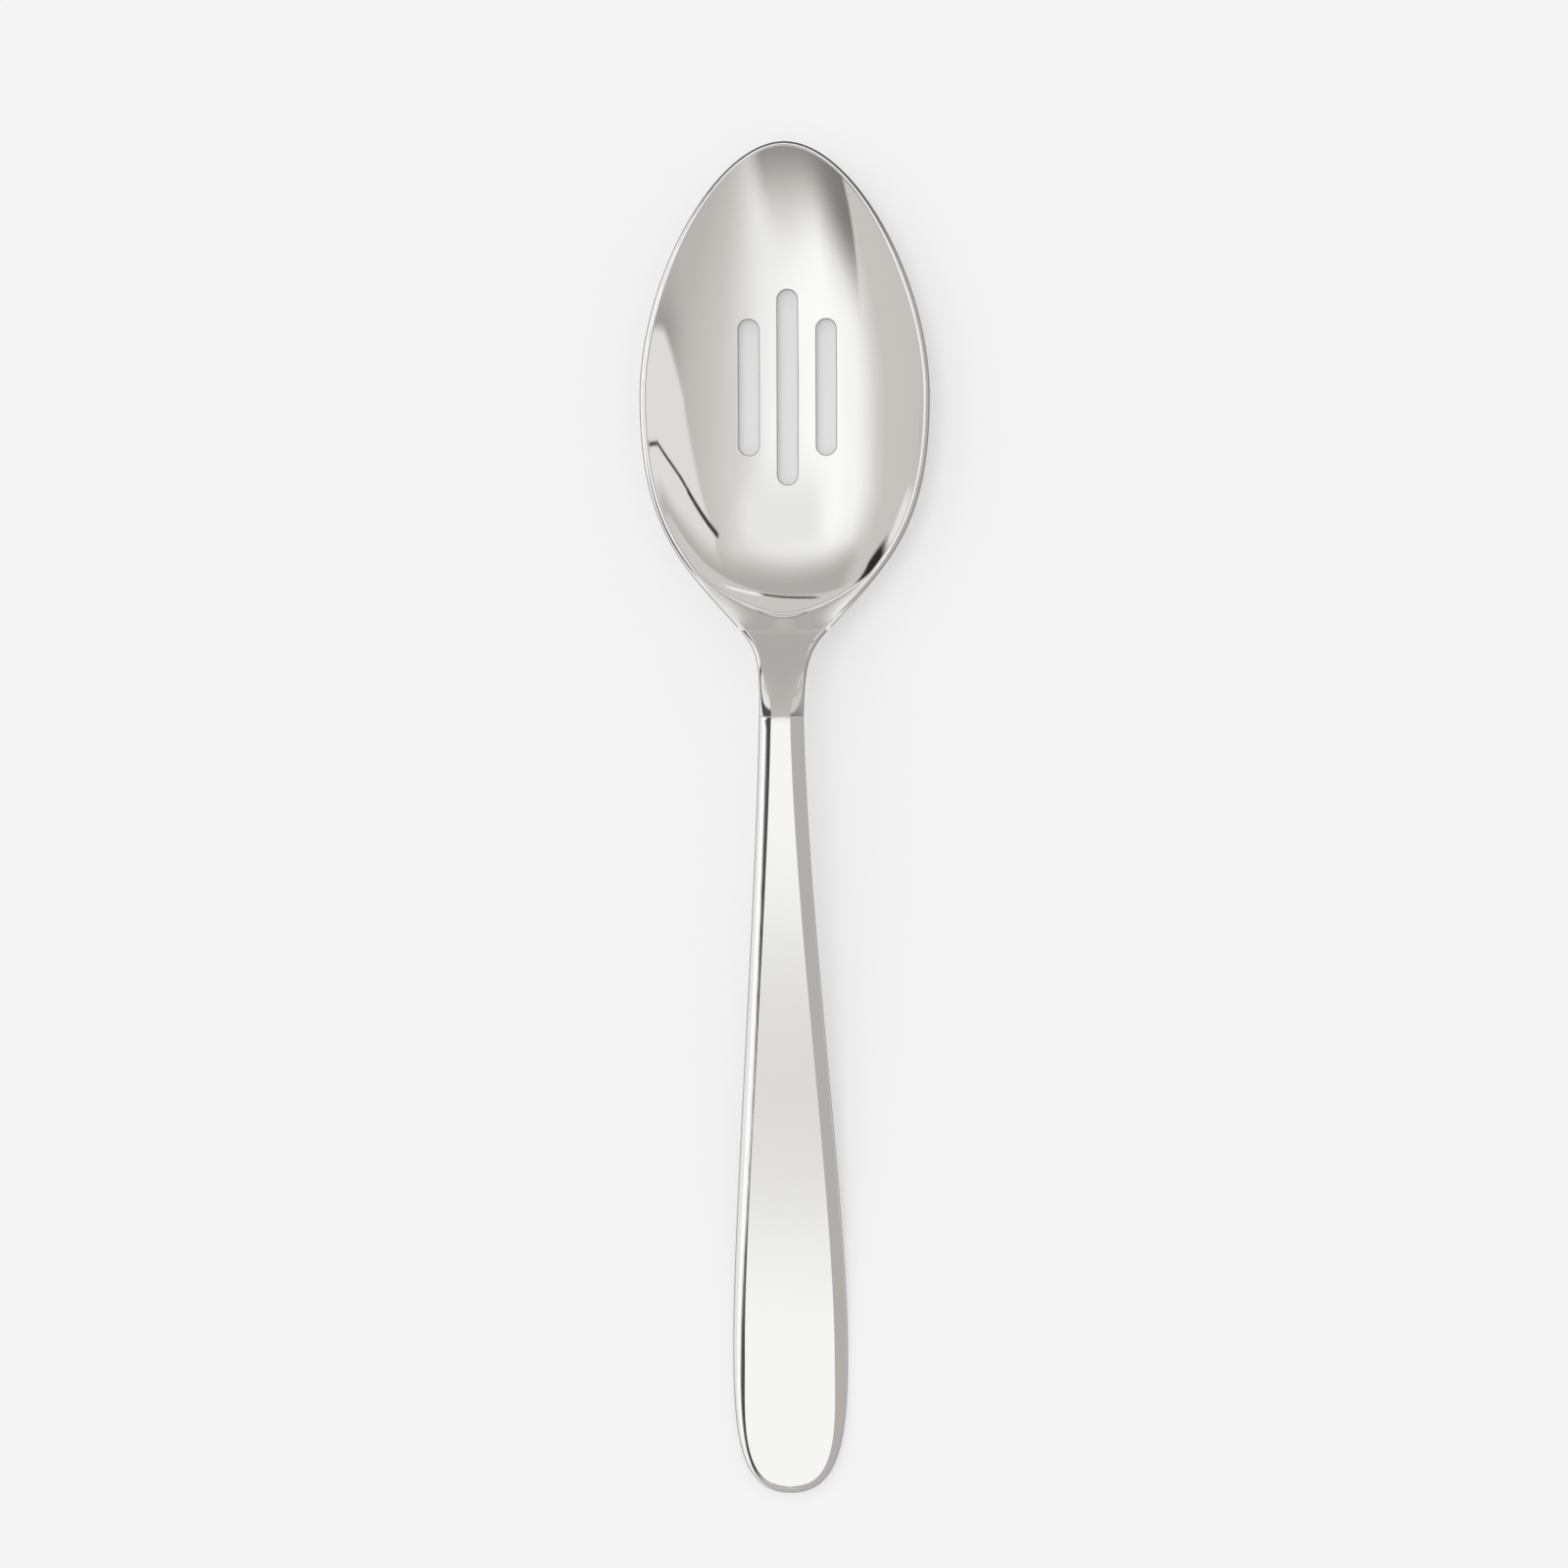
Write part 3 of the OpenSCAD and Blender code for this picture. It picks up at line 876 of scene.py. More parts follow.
def make_handle(form):
    start = form.crest
    near = start + START_NEAR * MM
    along = np.concatenate([
        [start, start + CREST_JOINT * MM],
        np.linspace(start, near, START_STEPS)[1:],
        np.linspace(near, form.widest_handle, HANDLE_STEPS)[1:-1],
    ])
    side = form.outline_at(form.handle_curve, HANDLE_TABLE, along)
    end = outline_rows(form.end_curve, 1 - np.linspace(1, 0, END_STEPS + 1) ** END_FINENESS)
    end[-1, 0] = 0
    rows = np.vstack([side, end])
    return make_tube("spoon_handle", form, rows, form.handle_under, False, [start], True)


# Slots, as a node tree that repeats one slot's wall across the bowl


def add_node(tree, kind, values=None, **settings):
    node = tree.nodes.new(kind)
    for name, value in settings.items():
        setattr(node, name, value)
    for key, value in (values or {}).items():
        if isinstance(value, bpy.types.NodeSocket):
            tree.links.new(value, node.inputs[key])
        else:
            node.inputs[key].default_value = value
    return node


def math_node(tree, operation, *values, clamp=False):
    node = add_node(tree, "ShaderNodeMath", dict(enumerate(values)), operation=operation)
    node.use_clamp = clamp
    return node.outputs[0]


SLOT_INPUTS = {
    "Slot width": "Float", "Slot pitch": "Float", "Middle slot length": "Float",
    "Side slot length": "Float", "Slots' middle": "Float", "Edge rounding": "Float",
    "Slot count": "Int", "Points round a slot": "Int", "Steel": "Material",
}


def slot_tree():
    """Node tree for the slots' walls, as upright tubes with flared ends."""
    tree = bpy.data.node_groups.new("Slot walls", "GeometryNodeTree")
    face = tree.interface
    face.new_socket("Geometry", in_out="INPUT", socket_type="NodeSocketGeometry")
    for name, kind in SLOT_INPUTS.items():
        face.new_socket(name, in_out="INPUT", socket_type="NodeSocket" + kind)
    face.new_socket("Geometry", in_out="OUTPUT", socket_type="NodeSocketGeometry")
    inputs = tree.nodes.new("NodeGroupInput").outputs
    width, pitch, middle_length, side_length, middle, rounding = (
        inputs[name] for name, kind in SLOT_INPUTS.items() if kind == "Float")
    maths = partial(math_node, tree)

    # A row of upright tubes one high, one for each slot
    last = maths("SUBTRACT", inputs["Slot count"], 1.0)
    first_across = maths("MULTIPLY", maths("MULTIPLY", last, -0.5), pitch)
    start = add_node(tree, "ShaderNodeCombineXYZ", {"X": first_across}).outputs[0]
    offset = add_node(tree, "ShaderNodeCombineXYZ", {"X": pitch}).outputs[0]
    places = add_node(tree, "GeometryNodeMeshLine", {
        "Count": inputs["Slot count"], "Start Location": start, "Offset": offset,
    }, mode="OFFSET").outputs[0]
    radius = maths("MULTIPLY", width, 0.5)
    tube = add_node(tree, "GeometryNodeMeshCylinder", {
        "Vertices": inputs["Points round a slot"], "Side Segments": SLOT_ROWS,
        "Radius": radius, "Depth": 1.0,
    }, fill_type="NONE").outputs["Mesh"]
    copies = add_node(tree, "GeometryNodeInstanceOnPoints", {
        "Points": places, "Instance": tube,
    }).outputs[0]
    tubes = add_node(tree, "GeometryNodeRealizeInstances", {"Geometry": copies}).outputs[0]
    spot = add_node(tree, "GeometryNodeInputPosition").outputs[0]
    parts = add_node(tree, "ShaderNodeSeparateXYZ", {0: spot}).outputs
    kept = add_node(tree, "GeometryNodeStoreNamedAttribute", {
        "Geometry": tubes, "Name": "depth", "Value": maths("ADD", parts["Z"], 0.5),
    }, data_type="FLOAT", domain="POINT").outputs[0]

    # Each tube is pulled out to its slot's length and flared at both ends
    place = maths("ROUND", maths("DIVIDE", parts["X"], pitch))
    centre = maths("MULTIPLY", place, pitch)
    side = maths("ABSOLUTE", place, clamp=True)
    gain = maths("SUBTRACT", side_length, middle_length)
    length = maths("MULTIPLY_ADD", side, gain, middle_length)
    run = maths("MULTIPLY", maths("SUBTRACT", length, width), 0.5)
    out = maths("ABSOLUTE", maths("MULTIPLY", parts["Z"], 2.0))
    turn = add_node(tree, "ShaderNodeMapRange", {
        "Value": out, "From Min": SLOT_STRAIGHT, "From Max": 1.0,
        "To Min": math.pi / 2, "To Max": 0.0,
    }).outputs[0]
    flare = maths("MULTIPLY", maths("SUBTRACT", 1.0, maths("SINE", turn)), rounding)
    swell = maths("ADD", 1.0, maths("DIVIDE", flare, radius))
    new_x = maths("MULTIPLY_ADD", maths("SUBTRACT", parts["X"], centre), swell, centre)
    stretch = maths("MULTIPLY", maths("SIGN", parts["Y"]), run)
    new_y = maths("ADD", maths("MULTIPLY_ADD", parts["Y"], swell, stretch), middle)
    moved = add_node(tree, "ShaderNodeCombineXYZ", {
        "X": new_x, "Y": new_y, "Z": parts["Z"],
    }).outputs[0]
    walls = add_node(tree, "GeometryNodeSetPosition", {
        "Geometry": kept, "Position": moved,
    }).outputs[0]
    real = add_node(tree, "GeometryNodeRealizeInstances", {"Geometry": walls}).outputs[0]
    dressed = add_node(tree, "GeometryNodeSetMaterial", {
        "Geometry": real, "Material": inputs["Steel"],
    }).outputs[0]
    tree.links.new(dressed, tree.nodes.new("NodeGroupOutput").inputs[0])
    return tree


def slot_walls(form, steel):
    """Points, faces and depth shares of the slots' walls, taken from the node tree."""
    s = form.s
    tree = slot_tree()
    holder = put("slot_walls", bpy.data.meshes.new("slot_walls"))
    modifier = holder.modifiers.new("Slot walls", "NODES")
    modifier.node_group = tree
    values = {
        "Slot width": s.slot_width,
        "Slot pitch": s.slot_pitch,
        "Middle slot length": s.middle_slot_length,
        "Side slot length": s.side_slot_length,
        "Slots' middle": form.overall / 2 - s.slot_middle,
        "Edge rounding": s.slot_rounding,
        "Slot count": s.slot_count,
        "Points round a slot": SLOT_POINTS,
        "Steel": steel,
    }
    for item in tree.interface.items_tree:
        if item.item_type == "SOCKET" and item.in_out == "INPUT" and item.name in values:
            modifier[item.identifier] = values[item.name]
    bpy.context.view_layer.update()
    graph = bpy.context.evaluated_depsgraph_get()
    mesh = bpy.data.meshes.new_from_object(holder.evaluated_get(graph))
    points = np.zeros(len(mesh.vertices) * 3)
    mesh.vertices.foreach_get("co", points)
    depth = np.zeros(len(mesh.vertices))
    mesh.attributes["depth"].data.foreach_get("value", depth)
    faces = [tuple(face.vertices) for face in mesh.polygons]
    bpy.data.objects.remove(holder)
    bpy.data.meshes.remove(mesh)
    return points.reshape(-1, 3), faces, depth


# Steel


# Polishing lines and clouds, in waves per metre, and how strongly they vary
LINE_WAVES = (900.0, 14.0, 900.0)
LINE_DETAIL = (4.0, 0.6)
LINE_RANGE = (0.3, 0.7)
LINE_DEPTH = 1e-5
CLOUD_WAVES = 46.0
CLOUD_DETAIL = (3.0, 0.5)


def colour_mix(tree, share, first, second):
    node = add_node(tree, "ShaderNodeMix", {0: share, 6: first, 7: second}, data_type="RGBA")
    return node.outputs[2]


def noise(tree, place, waves, detail):
    values = {"Vector": place, "Scale": waves, "Detail": detail[0], "Roughness": detail[1]}
    return add_node(tree, "ShaderNodeTexNoise", values).outputs["Fac"]


def polished_steel(colours):
    """Mirror-polished stainless steel with faint lengthways polishing lines and edge wear that
    roughens it; high wear also darkens its colour as painted shade.
    """
    c = colours
    found = bpy.data.materials.get("polished_steel_mirror")
    if found:
        return found
    steel = bpy.data.materials.new("polished_steel_mirror")
    steel.use_nodes = True
    tree = steel.node_tree
    shader = tree.nodes["Principled BSDF"]
    shader.inputs["Metallic"].default_value = 1.0
    place = add_node(tree, "ShaderNodeTexCoord").outputs["Object"]
    streaks = add_node(tree, "ShaderNodeMapping", {"Vector": place, "Scale": LINE_WAVES})
    lines = noise(tree, streaks.outputs[0], 1.0, LINE_DETAIL)
    cloud = noise(tree, place, CLOUD_WAVES, CLOUD_DETAIL)
    wear = add_node(tree, "ShaderNodeAttribute", attribute_name="wear").outputs["Fac"]
    tone = colour_mix(tree, cloud, (*c.steel_colour, 1.0), (*c.steel_shade, 1.0))
    # High wear paints the colour darker: painted shade for dark reflections along edges, the lip
    # and the slots' walls
    shaded_tone = colour_mix(tree, soft_step(tree, wear, SHADE_START_WEAR, 1.0), tone,
                        (*c.edge_shade_colour, 1.0))
    tree.links.new(shaded_tone, shader.inputs["Base Color"])
    base = add_node(tree, "ShaderNodeMapRange", {
        "Value": lines, "From Min": LINE_RANGE[0], "From Max": LINE_RANGE[1],
        "To Min": c.least_roughness, "To Max": c.most_roughness,
    }).outputs[0]
    worn = math_node(tree, "MULTIPLY_ADD", wear, c.edge_roughness, base)
    tree.links.new(worn, shader.inputs["Roughness"])
    bump = add_node(tree, "ShaderNodeBump", {
        "Height": lines, "Strength": c.line_strength, "Distance": LINE_DEPTH,
    }).outputs[0]
    tree.links.new(bump, shader.inputs["Normal"])
    return steel


# Stage

WHITE = (1.0, 1.0, 1.0, 1.0)


def ramp_node(tree, factor, stops):
    """Grey ramp over an angle in degrees, whose stops are (degrees, brightness)."""
    share = add_node(tree, "ShaderNodeMapRange", {
        "Value": factor, "From Min": -90.0, "From Max": 90.0, "To Min": 0.0, "To Max": 1.0,
    }).outputs[0]
    node = add_node(tree, "ShaderNodeValToRGB", {0: share})
    ramp = node.color_ramp
    ramp.interpolation = "LINEAR"
    while len(ramp.elements) > 1:
        ramp.elements.remove(ramp.elements[0])
    for i, (angle, level) in enumerate(stops):
        spot = (angle + 90) / 180
        element = ramp.elements[0] if i == 0 else ramp.elements.new(spot)
        element.position = spot
        element.color = (level, level, level, 1)
    return node.outputs[0]


# Studio round the spoon, laid out over how far a direction leans across and along, in degrees.
# A side is (a spot on its line, the way that it faces, its softness), an arc is
# (its centre, its radius, its width, its softness). Each panel is a brightness and its covers,
# laid over the ones before it.
WALL_STOPS = ((-90, 0.64), (28, 0.74), (36, 0.69), (45, 0.645), (62, 0.56), (90, 0.56))
CEILING_STOPS = ((-60, 0.86), (-46, 0.92), (-32, 1.0), (-16, 0.99), (3, 0.93), (20, 0.85),
                 (40, 0.76))
CEILING_SIDES = (((-54, 0), 0, 21), ((21, 0), 199, 27), ((0, 50), -90, 30))
LEFT_CORNER = ((-58, -36), -18, 2)
WINDOW_TURN = 23.5
PANELS = (
    # Ceiling's end and dark floor of the room beyond the bowl's tip, up to the left corner
    (0.92, ((0, -24), -90, 22), ((-20, 0), 0, 30), ((16, 0), 180, 30)),
    (0.33, ((0, -39.5), -90, 34), ((27, -45), 225, 14), LEFT_CORNER),
    (0.24, LEFT_CORNER, ((-45, -36), 162, 24), ((0, -30), -90, 34)),
    # Bright window on the right with its frame's shade before it, and two dark lines on it
    (0.36, ((55, 1.5), WINDOW_TURN, 13), ((0, -14), -90, 36), ((0, -60), 90, 20)),
    (0.84, ((60, 1.5), WINDOW_TURN, 3)),
    (0.06, ((68, 52), 20.5, 0.9, 1.0), ((56, 0), 0, 0.6), ((0, 45), -90, 3)),
    (0.04, ((23.5, -14), 59.2, 1.3, 1.0), ((38, 0), 0, 4), ((56, 0), 180, 0.6)),
    # Far end, behind the handle
    (0.92, ((0, 24), 90, 20), ((0, 46), -90, 16), ((-22, 0), 0, 20), ((22, 0), 180, 20)),
    (0.49, ((0, 51), 90, 14), ((-52, 0), 0, 16)),
    (0.68, ((-6, 61), 86, 1.6), ((-61, 0), 0, 10)),
    # Its dark line and bright line, seen in the heel, and the spots seen on the heel's right
    (0.15, ((22, 460.8), 400, 0.3, 0.7), ((-30, 0), 0, 12), ((6, 0), 180, 8)),
    (0.98, ((22, 461.2), 400, 0.4, 0.7), ((6, 0), 0, 8), ((38, 0), 180, 14)),
    (0.9, ((-79, 70), 0, 7, 4)),
    (0.03, ((-68, 69), 0, 10, 3)),
    (0.05, ((-63, 72), 0, 7, 4)),
    # Low end beyond the tip
    (0.58, ((0, -66), -90, 8)),
)

# Skirting low round the studio: its top as the height of a direction of length 1, and its
# brightness, on the left, the right, the far side beyond the tip and the near side
SKIRTING_TOPS = (0.112, 0.242, 0.262)
SKIRTING_TONES = (0.06, 0.51, 0.14, 0.52)
SKIRTING_SOFTNESS = 0.008
SKIRTING_RIGHT, SKIRTING_LEFT = (-0.4, 0.4), (-0.25, -0.55)
SKIRTING_FAR, SKIRTING_NEAR = (0.35, 0.75), (-0.5, -0.85)
STRIP_TONE = 1.15
STRIP_TOP = (0.064, 0.052)
STRIP_FALL = -0.045
TINTED_BELOW = (0.6, 1.0)


def side(tree, lean, spot, turn, softness):
    """1 beyond a line through a spot and 0 before it."""
    way = (math.cos(math.radians(turn)), math.sin(math.radians(turn)), 0)
    reach = add_node(tree, "ShaderNodeVectorMath", {0: lean, 1: way}, operation="DOT_PRODUCT")
    middle = spot[0] * way[0] + spot[1] * way[1]
    return soft_step(tree, reach.outputs["Value"], middle - softness / 2, middle + softness / 2)


def arc(tree, lean, centre, radius, width, softness):
    """1 on a line round a centre, or on a spot where the radius is 0."""
    gone = add_node(tree, "ShaderNodeVectorMath", {0: lean, 1: (*centre, 0)},
                    operation="DISTANCE").outputs["Value"]
    off = math_node(tree, "ABSOLUTE", math_node(tree, "SUBTRACT", gone, float(radius)))
    return soft_step(tree, off, width / 2 + softness, width / 2)


def cover(tree, lean, bound):
    """A side, which has three values, or an arc, which has four."""
    return (side if len(bound) == 3 else arc)(tree, lean, *bound)


def soft_step(tree, value, start, end):
    """0 at the start of a range and 1 at its end, whichever is higher."""
    flip = start > end
    node = add_node(tree, "ShaderNodeMapRange", {
        "Value": value, "From Min": min(start, end), "From Max": max(start, end),
        "To Min": float(flip), "To Max": float(not flip),
    }, interpolation_type="SMOOTHSTEP")
    return node.outputs[0]


def panel(tree, level, brightness, *covers):
    """Brightness laid over a level where all covers are 1."""
    spread = covers[0]
    for other in covers[1:]:
        spread = math_node(tree, "MULTIPLY", spread, other)
    node = add_node(tree, "ShaderNodeMix", {0: spread, 2: level, 3: brightness},
                    data_type="FLOAT")
    return node.outputs[0]


def studio_level(tree, stage, way):
    """Brightness of the studio in a direction."""
    parts = add_node(tree, "ShaderNodeSeparateXYZ", {0: way}).outputs
    across = math_node(tree, "DEGREES", math_node(tree, "ARCTAN2", parts["X"], parts["Z"]))
    along = math_node(tree, "DEGREES", math_node(tree, "ARCTAN2", parts["Y"], parts["Z"]))
    lean = add_node(tree, "ShaderNodeCombineXYZ", {0: across, 1: along}).outputs[0]

    level = ramp_node(tree, across, WALL_STOPS)
    ceiling = math_node(tree, "MULTIPLY", ramp_node(tree, across, CEILING_STOPS),
                        stage.ceiling_level)
    for brightness, *bounds in ((ceiling, *CEILING_SIDES), *PANELS):
        level = panel(tree, level, brightness, *(cover(tree, lean, b) for b in bounds))
    return skirting(tree, level, parts)


def skirting(tree, level, parts):
    """Skirting low round the studio, dark on the left, where a bright strip lies under it."""
    right = soft_step(tree, parts["X"], *SKIRTING_RIGHT)
    far = soft_step(tree, parts["Y"], *SKIRTING_FAR)
    near = soft_step(tree, parts["Y"], *SKIRTING_NEAR)
    top, tone = SKIRTING_TOPS[0], SKIRTING_TONES[0]
    for next_top, place in zip(SKIRTING_TOPS[1:], (right, far)):
        top = panel(tree, top, next_top, place)
    for next_tone, place in zip(SKIRTING_TONES[1:], (right, far, near)):
        tone = panel(tree, tone, next_tone, place)
    low = soft_step(tree, math_node(tree, "SUBTRACT", parts["Z"], top), SKIRTING_SOFTNESS,
                    -SKIRTING_SOFTNESS)
    level = panel(tree, level, tone, low)
    nearer = math_node(tree, "MINIMUM", parts["Y"], 0.0)
    height = math_node(tree, "MULTIPLY_ADD", nearer, STRIP_FALL, parts["Z"])
    return panel(tree, level, STRIP_TONE, soft_step(tree, height, *STRIP_TOP),
                 soft_step(tree, parts["X"], *SKIRTING_LEFT), soft_step(tree, far, 1.0, 0.0))


def make_world(stage):
    """Pale studio with a soft ceiling, warm grey walls and a few darker things in it."""
    world = bpy.data.worlds.new("studio")
    bpy.context.scene.world = world
    world.use_nodes = True
    tree = world.node_tree
    way = add_node(tree, "ShaderNodeTexCoord").outputs["Generated"]
    level = studio_level(tree, stage, way)
    tint = colour_mix(tree, soft_step(tree, level, *TINTED_BELOW), (*stage.wall_tint, 1.0),
                      WHITE)
    lit = add_node(tree, "ShaderNodeVectorMath", {0: tint, "Scale": level}, operation="SCALE")
    tree.links.new(lit.outputs[0], tree.nodes["Background"].inputs["Color"])


# Shade on the table under the bowl, in which it glows less
SHADED_SPOT = (0.0, 0.0805, 0.0)
SHADED_REACH = (0.0215, 0.037)
SHADED_SHARE = 0.22
SHADED_EDGE = (1.0, 0.7)


def table_glow(tree, stage):
    """Glow of the table top, less of it in the shade under the bowl's slots."""
    place = add_node(tree, "ShaderNodeTexCoord").outputs["Object"]
    away = add_node(tree, "ShaderNodeVectorMath", {0: place, 1: SHADED_SPOT},
                    operation="SUBTRACT").outputs[0]
    wide, long = SHADED_REACH
    share = add_node(tree, "ShaderNodeVectorMath", {0: away, 1: (1 / wide, 1 / long, 0.0)},
                     operation="MULTIPLY").outputs[0]
    reach = add_node(tree, "ShaderNodeVectorMath", {0: share}, operation="LENGTH")
    shade = soft_step(tree, reach.outputs["Value"], *SHADED_EDGE)
    return math_node(tree, "MULTIPLY_ADD", shade, -SHADED_SHARE * stage.floor_glow,
                     stage.floor_glow)


def make_floor(stage):
    """Plain pale table top, lit from below as well so that shadows stay faint."""
    half = stage.floor_size / 2
    mesh = bpy.data.meshes.new("table_top")
    mesh.from_pydata([(-half, -half, 0), (half, -half, 0), (half, half, 0), (-half, half, 0)],
                     [], [(0, 1, 2, 3)])
    floor = put("table_top", mesh)
    paint = bpy.data.materials.new("pale_table")
    paint.use_nodes = True
    tree = paint.node_tree
    shader = tree.nodes["Principled BSDF"]
    shader.inputs["Roughness"].default_value = 1.0
    shader.inputs["Specular IOR Level"].default_value = 0.0
    shader.inputs["Base Color"].default_value = (*stage.floor_colour, 1.0)
    shader.inputs["Emission Color"].default_value = WHITE
    tree.links.new(table_glow(tree, stage), shader.inputs["Emission Strength"])
    mesh.materials.append(paint)


def make_lamp(stage):
    """Broad key light from the upper left, too soft to draw an outline."""
    data = bpy.data.lights.new("soft_lamp", "SUN")
    data.angle = stage.lamp_angle
    data.energy = stage.lamp_power
    lamp = put("soft_lamp", data)
    lamp.rotation_euler = (-Vector(stage.lamp_way)).to_track_quat("-Z", "Y").to_euler()
    lamp.visible_glossy = False
    lamp.visible_camera = False


def make_camera(stage):
    """Camera above the spoon, leaning a little to its right as in the photograph."""
    data = bpy.data.cameras.new("camera")
    data.lens = data.sensor_width * stage.camera_distance / stage.view_width
    camera = put("camera", data)
    lean, tilt = stage.camera_lean, stage.camera_tilt
    back = Vector((math.sin(lean), math.sin(tilt), 1.0))
    back.z = math.sqrt(1 - back.x**2 - back.y**2)
    up = Vector((math.sin(stage.camera_roll), math.cos(stage.camera_roll), 0))
    right = up.cross(back).normalized()
    up = back.cross(right)
    target = Vector(stage.camera_target)
    turned = Matrix((right, up, back)).transposed().to_4x4()
    camera.matrix_world = Matrix.Translation(target + back * stage.camera_distance) @ turned
    bpy.context.scene.camera = camera


# Add-on


def length(name, description, default):
    return FloatProperty(name=name, description=description, default=default, min=0.0,
                         precision=5, subtype="DISTANCE", unit="LENGTH")


def angle(name, description, default):
    return FloatProperty(name=name, description=description, default=math.radians(default),
                         subtype="ANGLE", unit="ROTATION")


def share(name, description, default):
    return FloatProperty(name=name, description=description, default=default, min=0.0,
                         subtype="FACTOR")


def colour(name, description, default):
    return FloatVectorProperty(name=name, description=description, default=default, size=3,
                               min=0.0, max=1.0, subtype="COLOR")


class SpoonSizes(bpy.types.PropertyGroup):
    bowl_length: length("Bowl length", "From the tip to the shoulders",
                        BOWL_BOX[1].y - BOWL_BOX[0].y)
    bowl_width: length("Bowl width", "Greatest width", BOWL_BOX[1].x - BOWL_BOX[0].x)
    shoulder_width: length("Shoulder width", "Width where the neck starts",
                           NECK_BOX[1].x - NECK_BOX[0].x)
    rim_height: length("Rim height", "Above the table, halfway along", 0.0118)
    tip_rise: length("Tip rise", "How much higher the rim is at the tip", 0.001)
    floor_thickness: length("Floor thickness", "Of the bowl's middle", 0.0015)
    rim_thickness: length("Rim thickness", "Of the bowl's edge", 0.0016)
    rim_band: length("Rim band", "Width of the polished band round the rim", 0.0008)
    rim_angle: angle("Rim angle", "How steeply the rim's rounding leaves the underside", 30)
    lip_fillet: length("Lip fillet", "Rounding of the hollow's edge", 0.0003)
    slot_width: length("Slot width", "Of each slot", 0.0037)
    slot_pitch: length("Slot pitch", "Between two slots' centre lines", 0.0072)
    middle_slot_length: length("Middle slot length", "Of the longest slot", 0.0362)
    side_slot_length: length("Side slot length", "Of the slots at the sides", 0.0252)
    slot_middle: length("Slots' middle", "From the bowl's tip", 0.0445)
    slot_rounding: length("Slot rounding", "Of the slots' edges", 0.00016)
    slot_count: IntProperty(name="Slot count", description="Slots in the bowl", default=3,
                            min=1, max=3)
    patch_spacing: length("Patch spacing", "Between points round the slots", 0.0009)
    neck_length: length("Neck length", "From the shoulders to the crest",
                        NECK_BOX[1].y - NECK_BOX[0].y)
    neck_width: length("Neck width", "At its narrowest", 0.0082)
    shoulder_rise: length("Shoulder rise", "Neck's start above the rim", 0.0028)
    crest_height: length("Crest height", "Top of the crest above the table", NECK_BOX[1].z)
    crest_drop: length("Crest drop", "How much the crest's edge is rounded down", 0.00035)
    crest_length: length("Crest length", "Length of that rounding", 0.0024)
    crest_arc: length("Crest arc", "Sag of the line between facet and handle", 0.00018)
    crest_fillet: length("Crest fillet", "Softness of that line", 0.00012)
    crest_kick: length("Crest kick", "Extra rise of the facet just before the crest", 0.00007)
    kick_length: length("Kick length", "Length of that rise", 0.0003)
    facet_bow: length("Facet bow", "How much the neck's facet bulges", 0.00015)
    neck_thickness: length("Neck thickness", "At both of its ends", 0.0048)
    handle_length: length("Handle length", "From the crest to its end",
                          HANDLE_BOX[1].y - HANDLE_BOX[0].y)
    handle_width: length("Handle width", "Greatest width",
                         HANDLE_BOX[1].x - HANDLE_BOX[0].x)
    end_thickness: length("End thickness", "Of the handle's end", 0.003)
    side_band: length("Side band", "Width of the handle's bevelled sides", 0.00235)
    side_angle: angle("Side angle", "How steeply those sides leave the underside", 16)
    rim_bevel: angle("Rim bevel", "How steeply the bowl's edge leaves the top", 40.5)
    side_bevel: angle("Side bevel", "How steeply the handle's edges leave the top", 40.4)
    bevel_rounding: share("Bevel rounding", "Rest of an edge's drop, for its width", 0.1)
    end_band: length("End band", "Width of the band round the end", 0.0013)
    resting_length: length("Resting length", "Handle's end that lies flat", 0.02)


class SpoonColours(bpy.types.PropertyGroup):
    steel_colour: colour("Steel colour", "Brighter tone of the steel", (0.868, 0.866, 0.86))
    steel_shade: colour("Steel shade", "Darker tone of the steel", (0.845, 0.842, 0.834))
    # Colour of the painted shade at edges, the lip and the slots' walls
    edge_shade_colour: colour("Edge colour", "Painted shade right at an edge", (0.36, 0.36, 0.365))
    least_roughness: share("Least roughness", "Between polishing lines", 0.015)
    most_roughness: share("Most roughness", "On polishing lines", 0.05)
    edge_roughness: share("Edge roughness", "Added by wear along edges", 0.03)
    line_strength: share("Line strength", "Depth of the polishing lines", 0.12)


class SpoonStage(bpy.types.PropertyGroup):
    floor_size: length("Table size", "Side of the table top", 6.0)
    floor_colour: colour("Table colour", "Pale grey of the table", (0.625, 0.63, 0.64))
    floor_glow: share("Table glow", "Light that the table gives off", 0.33)
    wall_tint: colour("Wall tint", "Warmth of the studio's grey walls", (1.0, 0.965, 0.93))
    ceiling_level: share("Ceiling level", "Brightness of the soft ceiling", 1.12)
    lamp_way: FloatVectorProperty(name="Lamp direction", description="Towards the soft lamp",
                                  default=(-0.13, 0.06, 0.98), size=3, subtype="DIRECTION")
    lamp_angle: angle("Lamp angle", "How broad the soft lamp looks", 18)
    lamp_power: FloatProperty(name="Lamp power", description="In watts per square metre",
                              default=0.5, min=0.0)
    camera_distance: length("Camera distance", "From the middle of the view", 0.9)
    view_width: length("View width", "Width seen at the middle of the view", 0.2897)
    camera_target: FloatVectorProperty(name="View middle", description="Seen at the centre",
                                       default=(-0.00047, 0.0068, 0.008), size=3,
                                       subtype="TRANSLATION", unit="LENGTH", precision=5)
    camera_lean: angle("Camera lean", "Towards the spoon's right", 4.0)
    camera_tilt: angle("Camera tilt", "Towards the bowl's tip", 0)
    camera_roll: angle("Camera roll", "Turn about the line of sight", 0.14)


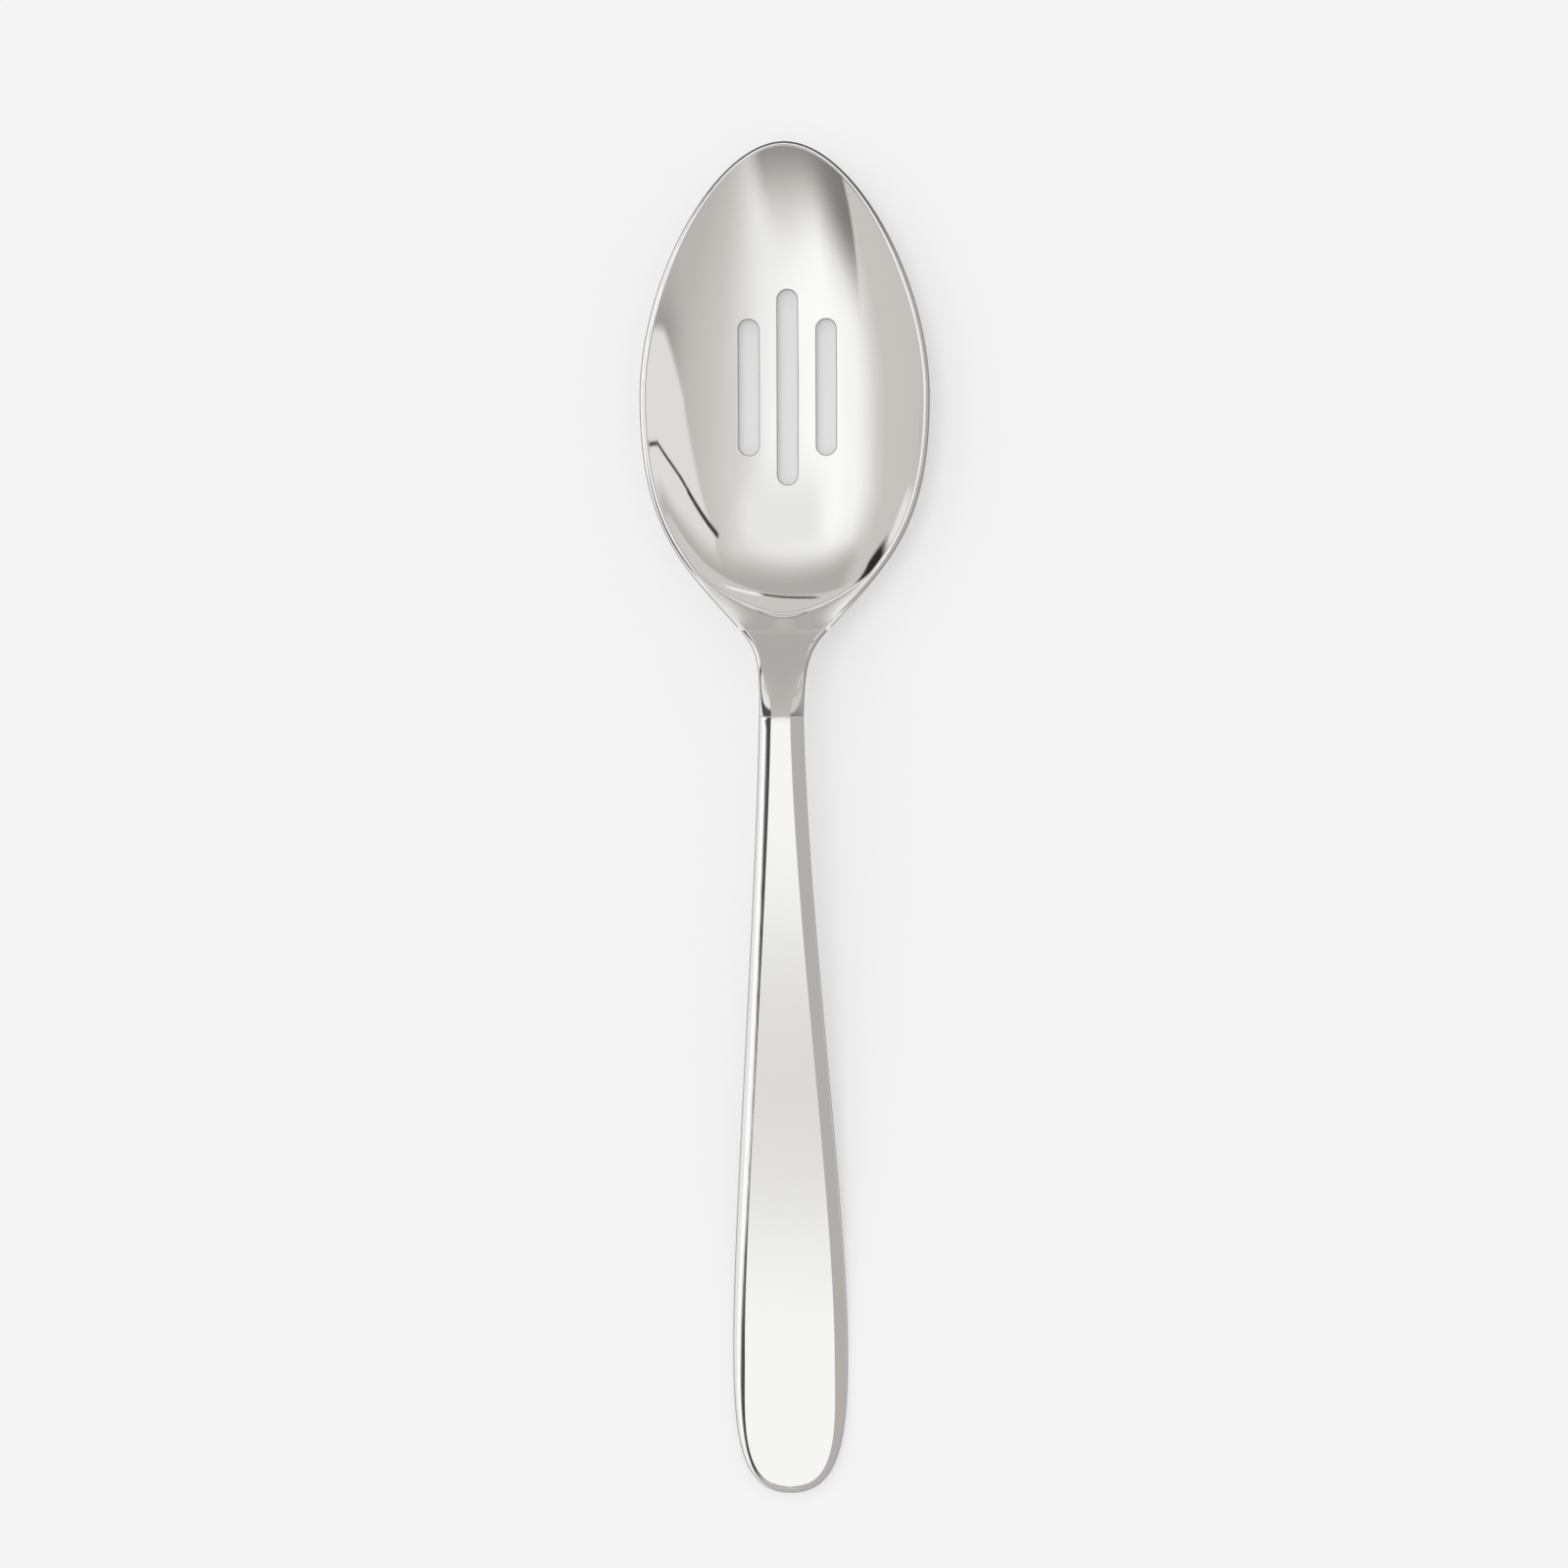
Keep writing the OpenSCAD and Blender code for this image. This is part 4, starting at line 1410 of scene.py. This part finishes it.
def form_and_steel(scene):
    return Form(scene.spoon_sizes), polished_steel(scene.spoon_colours)


def finish_piece(piece, steel, node):
    """Dresses a piece and ties it to the frame in place of its solid."""
    piece.data.materials.append(steel)
    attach(piece, "root")
    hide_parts(node)


class SPOON_OT_bowl(bpy.types.Operator):
    """Builds the slotted bowl"""

    bl_idname = "spoon.make_bowl"
    bl_label = "Slotted bowl"

    def execute(self, context):
        form, steel = form_and_steel(context.scene)
        finish_piece(make_bowl(form, slot_walls(form, steel)), steel, "bowl")
        return {"FINISHED"}


class SPOON_OT_neck(bpy.types.Operator):
    """Builds the neck with its facet"""

    bl_idname = "spoon.make_neck"
    bl_label = "Neck"

    def execute(self, context):
        form, steel = form_and_steel(context.scene)
        finish_piece(make_neck(form), steel, "neck")
        return {"FINISHED"}


class SPOON_OT_handle(bpy.types.Operator):
    """Builds the handle"""

    bl_idname = "spoon.make_handle"
    bl_label = "Handle"

    def execute(self, context):
        form, steel = form_and_steel(context.scene)
        finish_piece(make_handle(form), steel, "handle")
        return {"FINISHED"}


class SPOON_OT_stage(bpy.types.Operator):
    """Builds the table, the studio light and the camera"""

    bl_idname = "spoon.make_stage"
    bl_label = "Table, light and camera"

    def execute(self, context):
        stage = context.scene.spoon_stage
        make_world(stage)
        make_floor(stage)
        make_lamp(stage)
        make_camera(stage)
        context.scene.view_settings.view_transform = "Standard"
        return {"FINISHED"}


OPERATORS = (SPOON_OT_bowl, SPOON_OT_neck, SPOON_OT_handle, SPOON_OT_stage)
GROUPS = (SpoonSizes, SpoonColours, SpoonStage)


class SPOON_PT_panel(bpy.types.Panel):
    """Sizes, colours and stage of the spoon"""

    bl_idname = "SPOON_PT_panel"
    bl_label = "Slotted spoon"
    bl_space_type = "VIEW_3D"
    bl_region_type = "UI"
    bl_category = "Spoon"

    def draw(self, context):
        for operator in OPERATORS:
            self.layout.operator(operator.bl_idname)
        for group in ("spoon_sizes", "spoon_colours", "spoon_stage"):
            settings = getattr(context.scene, group)
            box = self.layout.box()
            for name in settings.__annotations__:
                box.prop(settings, name)


def register():
    for item in (*GROUPS, *OPERATORS, SPOON_PT_panel):
        bpy.utils.register_class(item)
    bpy.types.Scene.spoon_sizes = PointerProperty(type=SpoonSizes)
    bpy.types.Scene.spoon_colours = PointerProperty(type=SpoonColours)
    bpy.types.Scene.spoon_stage = PointerProperty(type=SpoonStage)


def unregister():
    for name in ("spoon_sizes", "spoon_colours", "spoon_stage"):
        delattr(bpy.types.Scene, name)
    for item in (SPOON_PT_panel, *OPERATORS, *GROUPS):
        bpy.utils.unregister_class(item)


def main():
    register()
    bpy.ops.spoon.make_stage()
    bpy.ops.spoon.make_bowl()
    bpy.ops.spoon.make_neck()
    bpy.ops.spoon.make_handle()


if __name__ == "__main__":
    main()
